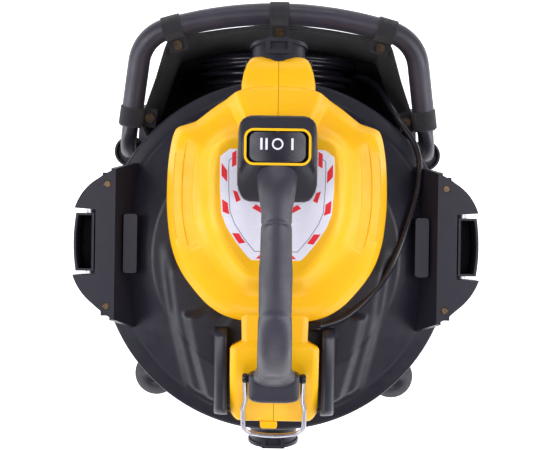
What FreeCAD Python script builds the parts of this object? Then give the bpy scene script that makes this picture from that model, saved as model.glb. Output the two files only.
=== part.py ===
import FreeCAD, Part
import glob
import math
import os
from FreeCAD import Vector as V

# A wheeled wet and dry vacuum cleaner: a steel drum on a trolley, a lift-off motor head
# with a carry handle, a hose inlet on the drum, a blower outlet on the head, and a rear
# push handle that carries a soft cord bag. Millimetres, +Z up, -Y is the front.
# Everything is laid out round the drum's vertical axis, then shifted at the end so that
# the origin is on the floor under the middle of the whole machine.

# ---------------------------------------------------------------- general clearances
RUN = 0.05            # radial clearance of a running shaft
AIR = 0.5             # gap kept between pieces that only pass each other
SEAM = 0.1            # half of the gap at the joint line of two shell halves

# ---------------------------------------------------------------- overall sizes
DRUM_R = 220.0
DRUM_H = 502.0
WHEEL_R = 90.0
TUBE_R = 11.0         # push handle tube
PORT_BORE_R = 29.0    # takes the end of a 58 mm hose
CORD_R = 4.0

# ---------------------------------------------------------------- drum
DRUM_WALL = 1.5
DRUM_BOTTOM = 2 * WHEEL_R - 8.0
DRUM_TOP = DRUM_BOTTOM + DRUM_H
BEAD = 4.0            # rolled edge, how far it stands out
GASKET_H = 4.0
FLOOR_RISE = 8.0      # the floor's turned-up edge
FLOOR_DISH = 6.0

# ---------------------------------------------------------------- trolley
PLATE_T = 10.0
PLATE_HOLE_R = 110.0
LIP_GAP = 3.0
LIP_T = 6.0
LIP_H = 14.0
WHEEL_W = 36.0
WHEEL_IN = DRUM_R - 22.0   # inner face of a rear wheel from the middle
WHEEL_Y = DRUM_R - 65.0
RIM_R = WHEEL_R - 28.0
AXLE_R = 8.0
FENDER_GAP = 7.0
FENDER_T = 5.0
CASTER_X = DRUM_R - 13.0
CASTER_Y = -DRUM_R - 3.0
CASTER_R = 37.5
CASTER_W = 26.0
CASTER_TRAIL = 28.0
CASTER_AXLE_R = 4.0
STEM_R = 6.0
CAP_R = 38.0
CAP_H = 26.0
ARM_W = 50.0
FORK_T = 4.0
FORK_TOP = 2 * CASTER_R + 32.0
BOSS_BOTTOM = FORK_TOP + 1.0
BOSS_TOP = BOSS_BOTTOM + 22.0
ARM_BOTTOM = BOSS_BOTTOM + 4.0

# ---------------------------------------------------------------- head
HEAD_R = DRUM_R + 20.0
SKIRT_T = 8.0
SKIRT_BOTTOM = DRUM_TOP - 14.0
FLANGE_TOP = DRUM_TOP + 16.0
FLANGE_IN_R = HEAD_R - 18.0
DOME_R = 165.0
DOME_TOP = FLANGE_TOP + 45.0
HEAD_WALL = 4.0
LEDGE_IN_R = DRUM_R - 25.0
PLATE_R = DRUM_R - 15.0
MOTOR_PLATE_T = 6.0
EAR_TOP = DOME_TOP + 15.0
EAR_IN_X = HEAD_R - 26.0
EAR_FOOT_X = HEAD_R - 50.0
NOTCH_X = HEAD_R
NOTCH_Y0 = -28.0
NOTCH_Y1 = 58.0
EAR_Y0 = -88.0
EAR_Y1 = 113.0
PAD_X0 = HEAD_R - 54.0
PAD_X1 = HEAD_R - 36.0
PAD_Y0 = -26.0
PAD_Y1 = 53.0
PAD_TOP = DOME_TOP + 2.0
VENT_R = 20.0         # where the motors' air goes up to the blower port
VENT_Y = 160.0

# ---------------------------------------------------------------- side latches
LATCH_PIN_X = HEAD_R + 15.0
LATCH_PIN_Z = DRUM_TOP + 2.0
LATCH_PIN_R = 3.0
LATCH_OUT_X = HEAD_R + 29.0
LATCH_IN_X = HEAD_R + 2.0
LATCH_TOP = EAR_TOP - 2.0
LATCH_CLEAR_Y = 4.5   # latch to notch, front and back
LATCH_WALL = 3.0
LUG_T = 5.0

# ---------------------------------------------------------------- push handle
POST_WALL = 2.5
POST_R = TUBE_R + 0.5 + POST_WALL
POST_X = HEAD_R - 30.0
POST_Y = math.sqrt((HEAD_R + POST_R + 0.1) ** 2 - POST_X ** 2)   # just clear of the head's rim
POST_TOP = DRUM_TOP - 74.0
SOCKET_R = POST_R + 8.0
SOCKET_H = 54.0
COLLAR_R = POST_R + 8.0
COLLAR_H = 28.0
TUBE_WALL = 1.5
TUBE_DEPTH = 110.0    # how far the handle tube reaches into a post
SLEEVE_T = 4.0
ELBOW_Z = DRUM_TOP - 24.0
RISE_DEG = 14.0       # slope of the handle's plane, up towards the rear
CORNER_X = POST_X - 23.0
CORNER_Y = POST_Y + 155.0
CROWN_Y = CORNER_Y + 51.0   # where the two straight rear runs would meet
ELBOW_BEND = 38.0
CORNER_BEND = 55.0
CROWN_BEND = 536.0
SLEEVE_START_Y = POST_Y + 33.0
BOLT_R = 3.0
BOLT_RISE = 32.0      # bolt above the socket's floor

# ---------------------------------------------------------------- cord bag
BAG_T = 3.0
BAG_FRONT_R = DRUM_R + 8.0
BAG_FRONT_X = POST_X - 38.0
BAG_SIDE_X = CORNER_X + 1.0
BAG_SIDE_Y = POST_Y + 39.0
BAG_REAR_X = CORNER_X - 37.0
BAG_REAR_Y = CORNER_Y - 7.0
BAG_CROWN_Y = CROWN_Y - 37.0
BAG_BOTTOM = DRUM_TOP - 234.0
RIM_GAP = 6.0         # room kept round the head's rim
BAG_DROP = 4.0        # the mouth hangs this far under the handle's plane
LOOP_W = 26.0
LOOP_T = 1.3
LOOP_GAP = 0.5
TAB_L = 18.0
TAB_DROP = 2.0
SNAP_IN = 9.0
TAB_T = 2.0
SNAP_R = 6.5
SNAP_T = 2.5
CROWN_LOOP_X = CORNER_X - 41.0
SIDE_LOOP_Y = POST_Y + 47.0

# ---------------------------------------------------------------- motors
MOTOR_X = 74.0
MOTOR_Y = 40.0
FAN_R = 72.0
FAN_H = 48.0
FAN_WALL = 4.0
EYE_R = 24.0
CAN_R = 42.0
CAN_TOP = DOME_TOP + 69.0
SHAFT_R = 4.0
IMPELLER_R = 62.0
ARMATURE_R = 30.0

# ---------------------------------------------------------------- float and filter
MANIFOLD_R = 152.0
MANIFOLD_H = 22.0
VALVE_R = 24.0
BALL_R = 26.0
CAGE_R = 38.0
CAGE_H = 90.0
CAGE_T = 2.0
FILTER_R = 148.0
FILTER_IN_R = 112.0
FILTER_H = 130.0
END_PLATE_T = 6.0
STUD_R = 4.0
KNOB_R = 16.0
KNOB_H = 14.0
BALL_GAP = 0.3

# ---------------------------------------------------------------- hose ports
PORT_R = PORT_BORE_R + 5.5
HOSE_DEPTH = 55.0     # how far a hose end goes in, up to a shoulder
PORT_SHOULDER = 1.5
PORT_FLANGE_R = PORT_R + 3.0
PORT_FLANGE_T = 5.0
PORT_TILT = 10.0
INLET_Y = -DRUM_R - 62.0
INLET_Z = DRUM_TOP - 169.0
INLET_L = 92.0
SADDLE_R = PORT_R + 15.5
SADDLE_T = 10.0
OUTLET_Y = 275.0
OUTLET_Z = DOME_TOP + PORT_R + 2.5
OUTLET_L = 64.0
YOKE_X = 17.0
YOKE_L = 20.0
YOKE_H = 9.0
YOKE_HOLE_X = 11.0
BLOCK_Y0 = 185.0
BLOCK_Y1 = 252.0

# ---------------------------------------------------------------- yellow cover
COVER_R = 155.0
COVER_Y = 64.0
COVER_X = 143.0
COVER_WALL = 3.5
SHOULDER_X = 132.0
SHOULDER_Y = 166.0
BOSS_X = PORT_R + 13.5
BOSS_Y = 259.0
BOSS_LID = OUTLET_Z + PORT_FLANGE_R + 14.5
NECK_X = 45.0
SPINE_X = 60.0
SPINE_END_Y = -224.0
TIERS = ((0.0, 55.0), (14.0, 77.0), (34.0, 97.0))   # inset from the outline, height above the dome
CROWN_TOP = DOME_TOP + 111.0
SPINE_HIGH = DOME_TOP + 55.0
SPINE_LOW = DOME_TOP + 5.0
FLANK_X = SPINE_X + 8.0
FLANK_T = 11.0
LABEL_T = 0.6

# ---------------------------------------------------------------- carry handle
HOUSING_X = 47.0
HOUSING_Y0 = 74.0
HOUSING_Y1 = 175.0
HOUSING_TOP = CROWN_TOP + 59.0
HOUSING_FRONT_Y = 106.0
GRIP_R = 19.5
GRIP_Z = HOUSING_TOP - 2.0
GRIP_FRONT_Y = -92.0
FOOT_X = 33.0
FOOT_Y0 = -187.0
FOOT_Y1 = -149.0
FOOT_TOP = SPINE_HIGH + 22.0
FOOT_BOTTOM = FOOT_TOP - 62.0
SWITCH_Y = 136.0
BEZEL_X = 41.0
BEZEL_Y = 22.5
BEZEL_T = 3.0
ROCKER_X = 34.0
ROCKER_Y = 18.0
ROCKER_PIVOT_Z = HOUSING_TOP - 12.0
SWITCH_BLOCK_H = 34.0

# ---------------------------------------------------------------- front bail
BAIL_R = 3.0
BAIL_HINGE_Y = -158.0
BAIL_HINGE_Z = FOOT_TOP - 19.0
BAIL_TOP_X = FOOT_X + BAIL_R + 1.5
BAIL_X = 40.5
BAIL_END_Y = -241.0
BAIL_END_Z = SPINE_LOW - 3.0
BAIL_BEND = 14.0

# ---------------------------------------------------------------- power cord
GLAND_X = 40.0
GLAND_Y = -91.0
GLAND_Z = DOME_TOP + 31.0
GLAND_R = CORD_R + 2.5
GLAND_L = 24.0
COIL_Y = BAG_FRONT_R + BAG_T + 30.0
COIL_A = 120.0        # outer half width of the coil
COIL_B = 95.0         # outer half height of the coil
COIL_BAND = 36.0      # radial depth of the coil
COIL_T = 46.0         # depth of the coil along Y
COIL_Z = BAG_BOTTOM + BAG_T + 1.0 + COIL_B
PLUG_X = 12.0         # where the cord enters the plug, which points to -X
PLUG_R = 18.0
PLUG_L = 40.0
PIN_L = 19.0

LOW, HIGH = -100.0, 3000.0   # well below and well above everything, for cuts
WIDE = 1000.0                # well outside everything
X_AXIS, Y_AXIS, Z_AXIS = V(1, 0, 0), V(0, 1, 0), V(0, 0, 1)
NODES = {}


# ================================================================ shape helpers
def cyl(radius, length, base, axis=Z_AXIS):
    return Part.makeCylinder(radius, length, V(*base), axis)


def tube(outer, inner, length, base, axis=Z_AXIS):
    return cyl(outer, length, base, axis).cut(cyl(inner, length, base, axis))


def box(x0, x1, y0, y1, z0, z1):
    return Part.makeBox(x1 - x0, y1 - y0, z1 - z0, V(x0, y0, z0))


def flip(shape):
    """The same piece on the other side of the machine."""
    return shape.mirror(V(0, 0, 0), X_AXIS)


def both(shape):
    return shape.fuse(flip(shape))


def spin(profile, centre=(0, 0)):
    """A solid of revolution about a vertical axis from (radius, height) points."""
    points = [V(r, 0, z) for r, z in profile]
    face = Part.Face(Part.makePolygon(points + points[:1]))
    solid = face.revolve(V(0, 0, 0), Z_AXIS, 360)
    solid.translate(V(centre[0], centre[1], 0))
    return solid


def spin_x(profile, y, z):
    """A solid of revolution about a line along X from (x, radius) points."""
    points = [V(x, r, 0) for x, r in profile]
    face = Part.Face(Part.makePolygon(points + points[:1]))
    solid = face.revolve(V(0, 0, 0), X_AXIS, 360)
    solid.translate(V(0, y, z))
    return solid


def prism(wire, z0, z1):
    """The solid over a flat closed wire drawn at height 0."""
    solid = Part.Face(wire).extrude(V(0, 0, z1 - z0))
    solid.translate(V(0, 0, z0))
    return solid


def slab(points, x0, x1):
    """A polygon of (y, z) points, given thickness along X."""
    corners = [V(x0, y, z) for y, z in points]
    return Part.Face(Part.makePolygon(corners + corners[:1])).extrude(V(x1 - x0, 0, 0))


def rounded_box(x0, x1, y0, y1, z0, z1, radius):
    """A box whose four upright edges are rounded."""
    block = box(x0, x1, y0, y1, z0, z1)
    upright = [e for e in block.Edges if abs(e.tangentAt(e.FirstParameter).z) > 0.9]
    return block.makeFillet(radius, upright)


def soften(solid, radius, pick):
    """Rounds the edges that pick() accepts."""
    edges = [e for e in solid.Edges if pick(e)]
    return solid.makeFillet(radius, edges) if edges else solid


def route(points, radii):
    """A wire of straight runs joined by tangent arcs, one radius for each inner point."""
    points = [V(*p) for p in points]
    edges, start = [], points[0]
    for i, radius in enumerate(radii, 1):
        before = (points[i - 1] - points[i]).normalize()
        after = (points[i + 1] - points[i]).normalize()
        half = before.getAngle(after) / 2
        reach = radius / math.tan(half)
        first, last = points[i] + before * reach, points[i] + after * reach
        middle = points[i] + (before + after).normalize() * (radius / math.sin(half) - radius)
        if (first - start).Length > 1e-4:
            edges.append(Part.LineSegment(start, first).toShape())
        edges.append(Part.Arc(first, middle, last).toShape())
        start = last
    edges.append(Part.LineSegment(start, points[-1]).toShape())
    return Part.Wire(edges)


def arc_radii(points):
    """The largest tangent arc that the two runs at each inner point allow."""
    points = [V(*p) for p in points]
    radii = []
    for a, b, c in zip(points, points[1:], points[2:]):
        turn = math.pi - (a - b).getAngle(c - b)
        radii.append(0.45 * min((a - b).Length, (c - b).Length) / math.tan(turn / 2))
    return radii


def sweep(wire, radius):
    """A round bar along a wire."""
    first = wire.OrderedEdges[0]
    start = first.valueAt(first.FirstParameter)
    along = first.tangentAt(first.FirstParameter)
    if (start - wire.OrderedVertexes[0].Point).Length > 1e-3:
        start, along = wire.OrderedVertexes[0].Point, along * -1
    ring = Part.Wire(Part.Circle(start, along, radius).toShape())
    return wire.makePipeShell([ring], True, False)


def add(name, shape):
    """Keeps a finished sub-part. Several solids in one node stay separate."""
    solids = shape.Solids
    NODES[name] = solids[0] if len(solids) == 1 else Part.Compound(solids)


def add_pair(name, shape):
    """The shape is the one on the +X side."""
    add(name + "_right", shape)
    add(name + "_left", flip(shape))


# ================================================================ trolley
LIP_R = DRUM_R + LIP_GAP
BASE_R = LIP_R + LIP_T
PLATE_TOP = DRUM_BOTTOM - 4.0
PLATE_BOTTOM = PLATE_TOP - PLATE_T
WHEEL_OUT = WHEEL_IN + WHEEL_W
WEB_X = WHEEL_IN - 9.0
POCKET_X = WEB_X + HEAD_WALL
AXLE_END = WHEEL_OUT + 9.0
SOCKET_FLOOR = 2 * WHEEL_R + FENDER_GAP + FENDER_T + 6.0
SOCKET_TOP = SOCKET_FLOOR + SOCKET_H
BOLT_Z = SOCKET_FLOOR + BOLT_RISE


def trolley_base():
    rib_bottom = PLATE_BOTTOM - 18.0
    ring = spin([
        (PLATE_HOLE_R, PLATE_BOTTOM), (BASE_R - 20, PLATE_BOTTOM), (BASE_R - 20, rib_bottom),
        (BASE_R - 14, rib_bottom), (BASE_R - 14, PLATE_BOTTOM), (BASE_R - 6, PLATE_BOTTOM),
        (BASE_R, PLATE_BOTTOM + 6), (BASE_R, PLATE_TOP + LIP_H), (LIP_R, PLATE_TOP + LIP_H),
        (LIP_R, PLATE_TOP), (PLATE_HOLE_R, PLATE_TOP)])
    base = ring
    for side in (-1, 1):
        base = base.fuse([caster_arm(side), wheel_bracket(side)])
    for side in (-1, 1):
        x0, x1 = sorted((side * POCKET_X, side * (WHEEL_OUT + 30)))
        pocket = cyl(WHEEL_R + FENDER_GAP, x1 - x0, (x0, WHEEL_Y, WHEEL_R), X_AXIS)
        base = base.cut(pocket)
        post = (side * POST_X, POST_Y)
        base = base.cut(cyl(POST_R + RUN, WIDE, (*post, SOCKET_FLOOR)))
        base = base.cut(cyl(BOLT_R + RUN, 4 * SOCKET_R, (post[0], POST_Y - 2 * SOCKET_R, BOLT_Z), Y_AXIS))
        base = base.cut(cyl(STEM_R + RUN, BOSS_TOP - BOSS_BOTTOM - 3,
                            (side * CASTER_X, CASTER_Y, BOSS_BOTTOM)))
    base = base.cut(cyl(AXLE_R + RUN, 2 * AXLE_END, (-AXLE_END, WHEEL_Y, WHEEL_R), X_AXIS))
    base = base.cut(cyl(LIP_R, WIDE, (0, 0, PLATE_TOP)))
    return base.removeSplitter()


def caster_arm(side):
    """A box-section arm from the ring to the boss over a front caster."""
    reach = math.hypot(CASTER_X, CASTER_Y)
    inner = BASE_R - 25
    arm = box(inner, reach, -ARM_W / 2, ARM_W / 2, ARM_BOTTOM, PLATE_BOTTOM)
    arm = arm.cut(box(inner + 8, reach - CAP_R, -ARM_W / 2 + 5, ARM_W / 2 - 5,
                      ARM_BOTTOM - 1, PLATE_BOTTOM - 6))
    arm = arm.fuse(box(inner, BASE_R - 4, -ARM_W / 2, ARM_W / 2, PLATE_BOTTOM - 20, PLATE_BOTTOM))
    arm.rotate(V(0, 0, 0), Z_AXIS, math.degrees(math.atan2(CASTER_Y, side * CASTER_X)))
    boss = cyl(CAP_R, BOSS_TOP - BOSS_BOTTOM, (side * CASTER_X, CASTER_Y, BOSS_BOTTOM))
    above = cyl(CAP_R + AIR, CAP_H + 10, (side * CASTER_X, CASTER_Y, BOSS_TOP))
    return arm.cut(above).fuse(boss)


def wheel_bracket(side):
    """Fender, web, axle boss and handle socket over a rear wheel, made on the +X side."""
    outer = WHEEL_R + FENDER_GAP + FENDER_T
    full = cyl(outer, WHEEL_OUT + 6 - WEB_X, (WEB_X, WHEEL_Y, WHEEL_R), X_AXIS)
    upper = full.common(box(0, WIDE, -WIDE, WIDE, WHEEL_R + 35, HIGH))
    inner = WHEEL_IN - 53
    boss = cyl(AXLE_R * 2, POCKET_X - inner, (inner, WHEEL_Y, WHEEL_R), X_AXIS)
    web = box(inner + 5, POCKET_X, WHEEL_Y - 14, WHEEL_Y + 14, WHEEL_R, PLATE_BOTTOM + 2)
    bridge = box(inner - 25, POCKET_X, WHEEL_Y - 55, WHEEL_Y + 30, PLATE_BOTTOM - 14, PLATE_TOP)
    cheek = box(WEB_X, POCKET_X, WHEEL_Y - 40, WHEEL_Y + 40, WHEEL_R - 14, WHEEL_R + 40)
    socket = cyl(SOCKET_R, SOCKET_TOP - 2 * WHEEL_R, (POST_X, POST_Y, 2 * WHEEL_R))
    socket = socket.fuse(cyl(SOCKET_R + 3, 8, (POST_X, POST_Y, SOCKET_TOP - 8)))
    whole = upper.fuse([boss, web, bridge, cheek, socket])
    return whole if side > 0 else flip(whole)


def caster_cap():
    """The rounded cone that covers the boss over a caster."""
    steps = 6
    profile = [(0, BOSS_TOP), (CAP_R, BOSS_TOP), (CAP_R, BOSS_TOP + 4)]
    for i in range(1, steps + 1):
        t = i / steps
        profile.append((CAP_R - (CAP_R - 10) * t, BOSS_TOP + 4 + (CAP_H - 4) * math.sin(t * math.pi / 2)))
    profile.append((0, BOSS_TOP + CAP_H + 1))
    return spin(profile, (CASTER_X, CASTER_Y))


def caster_fork():
    wheel_y = CASTER_Y + CASTER_TRAIL
    inner = CASTER_W / 2 + 2.5
    top = cyl(24, FORK_T + 1, (CASTER_X, CASTER_Y, FORK_TOP - FORK_T - 1))
    neck = box(CASTER_X - inner - FORK_T, CASTER_X + inner + FORK_T, CASTER_Y - 14, CASTER_Y + 20,
               FORK_TOP - FORK_T - 1, FORK_TOP - 1)
    low = CASTER_R - 9.5
    outline = [(CASTER_Y - 14, FORK_TOP - 1), (CASTER_Y + 20, FORK_TOP - 1), (wheel_y + 15, low + 24),
               (wheel_y + 12, low), (wheel_y - 12, low), (wheel_y - 18, low + 32)]
    cheeks = [slab(outline, CASTER_X + s * inner, CASTER_X + s * (inner + FORK_T)) for s in (-1, 1)]
    fork = top.fuse([neck] + cheeks)
    hole = cyl(CASTER_AXLE_R, 80, (CASTER_X - 40, wheel_y, CASTER_R), X_AXIS)
    stem = cyl(STEM_R, BOSS_TOP - 8 - FORK_TOP + FORK_T, (CASTER_X, CASTER_Y, FORK_TOP - FORK_T - 1))
    return fork.cut(hole).fuse(stem)


def caster_wheel():
    half, r = CASTER_W / 2, CASTER_R
    profile = [(-half, CASTER_AXLE_R + RUN), (half, CASTER_AXLE_R + RUN), (half, 11), (half - 5, 13),
               (half - 5, r - 12), (half, r - 9), (half, r - 4), (half - 4, r), (-half + 4, r),
               (-half, r - 4), (-half, r - 9), (-half + 5, r - 12), (-half + 5, 13), (-half, 11)]
    wheel = spin_x(profile, CASTER_Y + CASTER_TRAIL, r)
    wheel.translate(V(CASTER_X, 0, 0))
    return wheel


def build_trolley():
    add("trolley_base", trolley_base())
    add("caster_caps", both(caster_cap()))
    add_pair("caster_fork", caster_fork())
    add_pair("caster_wheel", caster_wheel())
    grip = CASTER_W / 2 + 2.5 + FORK_T
    axle = cyl(CASTER_AXLE_R, 2 * grip, (CASTER_X - grip, CASTER_Y + CASTER_TRAIL, CASTER_R), X_AXIS)
    heads = [cyl(CASTER_AXLE_R + 3, 3, (x, CASTER_Y + CASTER_TRAIL, CASTER_R), X_AXIS)
             for x in (CASTER_X - grip - 3, CASTER_X + grip)]
    add_pair("caster_axle", axle.fuse(heads))

    add("rear_axle", cyl(AXLE_R, 2 * AXLE_END, (-AXLE_END, WHEEL_Y, WHEEL_R), X_AXIS))
    add_pair("rear_hub", rear_hub())
    add_pair("rear_tyre", rear_tyre())
    cap = cyl(AXLE_R + 7, 9, (WHEEL_OUT + 1, WHEEL_Y, WHEEL_R), X_AXIS)
    cap = soften(cap, 3, lambda e: e.CenterOfMass.x > WHEEL_OUT + 9.5 and e.Length > 60)
    cap = cap.cut(cyl(AXLE_R, AXLE_END, (0, WHEEL_Y, WHEEL_R), X_AXIS))
    add("axle_caps", both(cap))


def rear_hub():
    a, b = WHEEL_IN + 2, WHEEL_OUT - 2
    mid = (a + b) / 2
    profile = [(a - 2, AXLE_R + RUN), (b + 2, AXLE_R + RUN), (b + 2, 20), (b - 6, 24), (b - 10, RIM_R - 12),
               (b, RIM_R - 8), (b, RIM_R), (a, RIM_R), (a, RIM_R - 8), (mid - 4, RIM_R - 12),
               (mid - 4, 24), (a - 2, 20)]
    hub = spin_x(profile, WHEEL_Y, WHEEL_R)
    for i in range(5):
        angle = math.radians(72 * i + 90)
        reach = (RIM_R + 12) / 2
        at = (WHEEL_IN - 5, WHEEL_Y + reach * math.cos(angle), WHEEL_R + reach * math.sin(angle))
        hub = hub.cut(cyl(9, WHEEL_W + 10, at, X_AXIS))
    return hub


def rear_tyre():
    a, b, r = WHEEL_IN, WHEEL_OUT, WHEEL_R
    profile = [(a + 2, RIM_R), (b - 2, RIM_R), (b - 1, RIM_R + 6), (b, r - 16), (b, r - 8), (b - 3, r - 2),
               (b - 8, r), (a + 8, r), (a + 3, r - 2), (a, r - 8), (a, r - 16), (a + 1, RIM_R + 6)]
    return spin_x(profile, WHEEL_Y, WHEEL_R)


# ================================================================ push handle and bag
SLOPE = math.tan(math.radians(RISE_DEG))


def on_plane(x, y, drop=0.0):
    """A point of the push handle's sloping plane."""
    return (x, y, ELBOW_Z + (y - POST_Y) * SLOPE - drop)


def handle_route():
    foot = POST_TOP - TUBE_DEPTH
    points = [(-POST_X, POST_Y, foot), on_plane(-POST_X, POST_Y), on_plane(-CORNER_X, CORNER_Y),
              on_plane(0, CROWN_Y), on_plane(CORNER_X, CORNER_Y), on_plane(POST_X, POST_Y),
              (POST_X, POST_Y, foot)]
    return route(points, [ELBOW_BEND, CORNER_BEND, CROWN_BEND, CORNER_BEND, ELBOW_BEND])


def sleeve_route():
    share = (SLEEVE_START_Y - POST_Y) / (CORNER_Y - POST_Y)
    start_x = POST_X + (CORNER_X - POST_X) * share
    points = [on_plane(-start_x, SLEEVE_START_Y), on_plane(-CORNER_X, CORNER_Y), on_plane(0, CROWN_Y),
              on_plane(CORNER_X, CORNER_Y), on_plane(start_x, SLEEVE_START_Y)]
    return route(points, [CORNER_BEND, CROWN_BEND, CORNER_BEND])


def loop_places():
    """Middle of each strap loop on the handle tube, its direction, and the way inwards."""
    places = []
    lean = math.cos(math.radians(RISE_DEG))
    half_turn = math.atan2((CROWN_Y - CORNER_Y) / lean, CORNER_X)
    crown = CROWN_Y - CROWN_BEND * (1 / math.cos(half_turn) - 1) * lean
    places.append((V(*on_plane(0, crown)), V(1, 0, 0), V(*on_plane(0, -1)) - V(*on_plane(0, 0))))
    for side in (-1, 1):
        run = V(*on_plane(side * CORNER_X, CORNER_Y)) - V(*on_plane(0, CROWN_Y))
        share = CROWN_LOOP_X / CORNER_X
        middle = V(*on_plane(0, CROWN_Y)) + run * share
        places.append((middle, run, V(-side * 0.35, -1, -SLOPE)))
        leg = V(*on_plane(side * POST_X, POST_Y)) - V(*on_plane(side * CORNER_X, CORNER_Y))
        share = (SIDE_LOOP_Y - CORNER_Y) / (POST_Y - CORNER_Y)
        middle = V(*on_plane(side * CORNER_X, CORNER_Y)) + leg * share
        places.append((middle, leg, V(-side, 0.1, 0)))
    return places


def strap_loop(middle, along, inward):
    """A webbing loop round the tube with its tab, and the snap button on the tab."""
    along = V(along).normalize()
    inward = (inward - along * inward.dot(along)).normalize()
    up = along.cross(inward)
    up = up if up.z > 0 else up * -1
    inner = TUBE_R + SLEEVE_T + LOOP_GAP
    start = middle - along * (LOOP_W / 2)
    band = tube(inner + LOOP_T, inner, LOOP_W, tuple(start), along)
    root = start + inward * (inner + LOOP_T / 2) - up * (TAB_DROP + TAB_T)
    tab = plank(root, inward * TAB_L, along * LOOP_W, up * TAB_T)
    snap_at = middle + inward * (inner + LOOP_T / 2 + SNAP_IN) - up * TAB_DROP
    return band.fuse(tab), cyl(SNAP_R, SNAP_T, tuple(snap_at), up)


def plank(corner, a, b, c):
    """A box from one corner and its three edges."""
    face = Part.Face(Part.makePolygon([corner, corner + a, corner + a + b, corner + b, corner]))
    return face.extrude(c)


def bag_outline(inset):
    """The bag in plan: its front wraps round the drum, its rear follows the handle."""
    front_y = math.sqrt(BAG_FRONT_R ** 2 - BAG_FRONT_X ** 2)
    half = [V(BAG_FRONT_X, front_y, 0), V(BAG_SIDE_X, BAG_SIDE_Y, 0), V(BAG_REAR_X, BAG_REAR_Y, 0)]
    side = Part.makePolygon(half).Edges
    front = Part.Arc(half[0], V(0, BAG_FRONT_R, 0), V(-half[0].x, half[0].y, 0)).toShape()
    rear = Part.Arc(half[2], V(0, BAG_CROWN_Y, 0), V(-half[2].x, half[2].y, 0)).toShape()
    wire = Part.Wire(Part.__sortEdges__(side + [rear, front] + [flip(e) for e in side]))
    return wire.makeOffset2D(-inset) if inset else wire


def cord_bag():
    """The open pouch. Its mouth slopes with the handle, and dips under the head's rim."""
    shell = prism(bag_outline(0), BAG_BOTTOM, HIGH).cut(prism(bag_outline(BAG_T), BAG_BOTTOM + BAG_T, HIGH))
    z0 = on_plane(0, 0, BAG_DROP)[2]
    z1 = on_plane(0, WIDE, BAG_DROP)[2]
    above = slab([(0, z0), (WIDE, z1), (WIDE, 2 * HIGH), (0, 2 * HIGH)], -WIDE, WIDE)
    return shell.cut([above, cyl(HEAD_R + RIM_GAP, WIDE, (0, 0, SKIRT_BOTTOM - RIM_GAP))])


def build_handle():
    post = tube(POST_R, POST_R - POST_WALL, POST_TOP - SOCKET_FLOOR, (POST_X, POST_Y, SOCKET_FLOOR))
    post = post.cut(cyl(BOLT_R + RUN, 4 * SOCKET_R, (POST_X, POST_Y - 2 * SOCKET_R, BOLT_Z), Y_AXIS))
    add("handle_posts", both(post))
    low = POST_TOP + 12 - COLLAR_H
    collar = spin([(POST_R + RUN, low), (COLLAR_R, low), (COLLAR_R, POST_TOP + 12), (COLLAR_R - 3, POST_TOP + 12),
                   (COLLAR_R - 3, POST_TOP + 3), (TUBE_R + 2.5, POST_TOP + 3), (TUBE_R + 2.5, POST_TOP + 12),
                   (TUBE_R + RUN, POST_TOP + 12), (TUBE_R + RUN, POST_TOP), (POST_R + RUN, POST_TOP)],
                  (POST_X, POST_Y))
    add("handle_collars", both(collar))
    shank = cyl(BOLT_R, 2 * SOCKET_R + 6, (POST_X, POST_Y - SOCKET_R, BOLT_Z), Y_AXIS)
    heads = [cyl(2 * BOLT_R, 4, (POST_X, POST_Y - SOCKET_R - 4, BOLT_Z), Y_AXIS),
             cyl(2 * BOLT_R, 5, (POST_X, POST_Y + SOCKET_R, BOLT_Z), Y_AXIS)]
    add("post_bolts", both(shank.fuse(heads)))
    path = handle_route()
    add("push_handle_tube", sweep(path, TUBE_R).cut(sweep(path, TUBE_R - TUBE_WALL)))
    path = sleeve_route()
    add("grip_sleeve", sweep(path, TUBE_R + SLEEVE_T).cut(sweep(path, TUBE_R)))
    loops, snaps = zip(*[strap_loop(*place) for place in loop_places()])
    bag = cord_bag().cut(list(loops))
    add("cord_bag", max(bag.Solids, key=lambda s: s.Volume))
    add("strap_loops", Part.Compound([s for loop in loops for s in loop.Solids]))
    add("snap_buttons", Part.Compound(list(snaps)))


# ================================================================ drum and its fittings
def port_axis(side):
    """Outward direction of a hose port, which points a little downwards."""
    tilt = math.radians(PORT_TILT)
    return V(0, side * math.cos(tilt), -math.sin(tilt))


def hose_port(mouth, side, length):
    """A hose spigot with its flange and the yoke that the hose's catch snaps into."""
    out = port_axis(side)
    back = mouth - out * length
    body = cyl(PORT_R, length, tuple(back), out)
    flange = cyl(PORT_FLANGE_R, PORT_FLANGE_T, tuple(mouth - out * PORT_FLANGE_T), out)
    y0, y1 = sorted((mouth.y + side * 6, mouth.y - side * (YOKE_L - 6)))
    top = mouth.z + PORT_R
    yoke = rounded_box(-YOKE_X, YOKE_X, y0, y1, top - 8, top + YOKE_H, 2.0)
    window = box(-YOKE_HOLE_X, YOKE_HOLE_X, y0 + 5, y1 - 5, top + 2, top + YOKE_H + 1)
    return body.fuse([flange, yoke.cut(window)])


def hose_bore(mouth, side, length):
    """The room in a port: the hose's bore, and the narrower passage past its shoulder."""
    out = port_axis(side)
    beyond = 10.0
    wide = cyl(PORT_BORE_R, HOSE_DEPTH + beyond, tuple(mouth - out * HOSE_DEPTH), out)
    return wide.fuse(cyl(PORT_BORE_R - PORT_SHOULDER, length, tuple(mouth - out * length), out))


def inlet_mouth():
    return V(0, INLET_Y, INLET_Z)


def outlet_mouth():
    return V(0, OUTLET_Y, OUTLET_Z)


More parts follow.
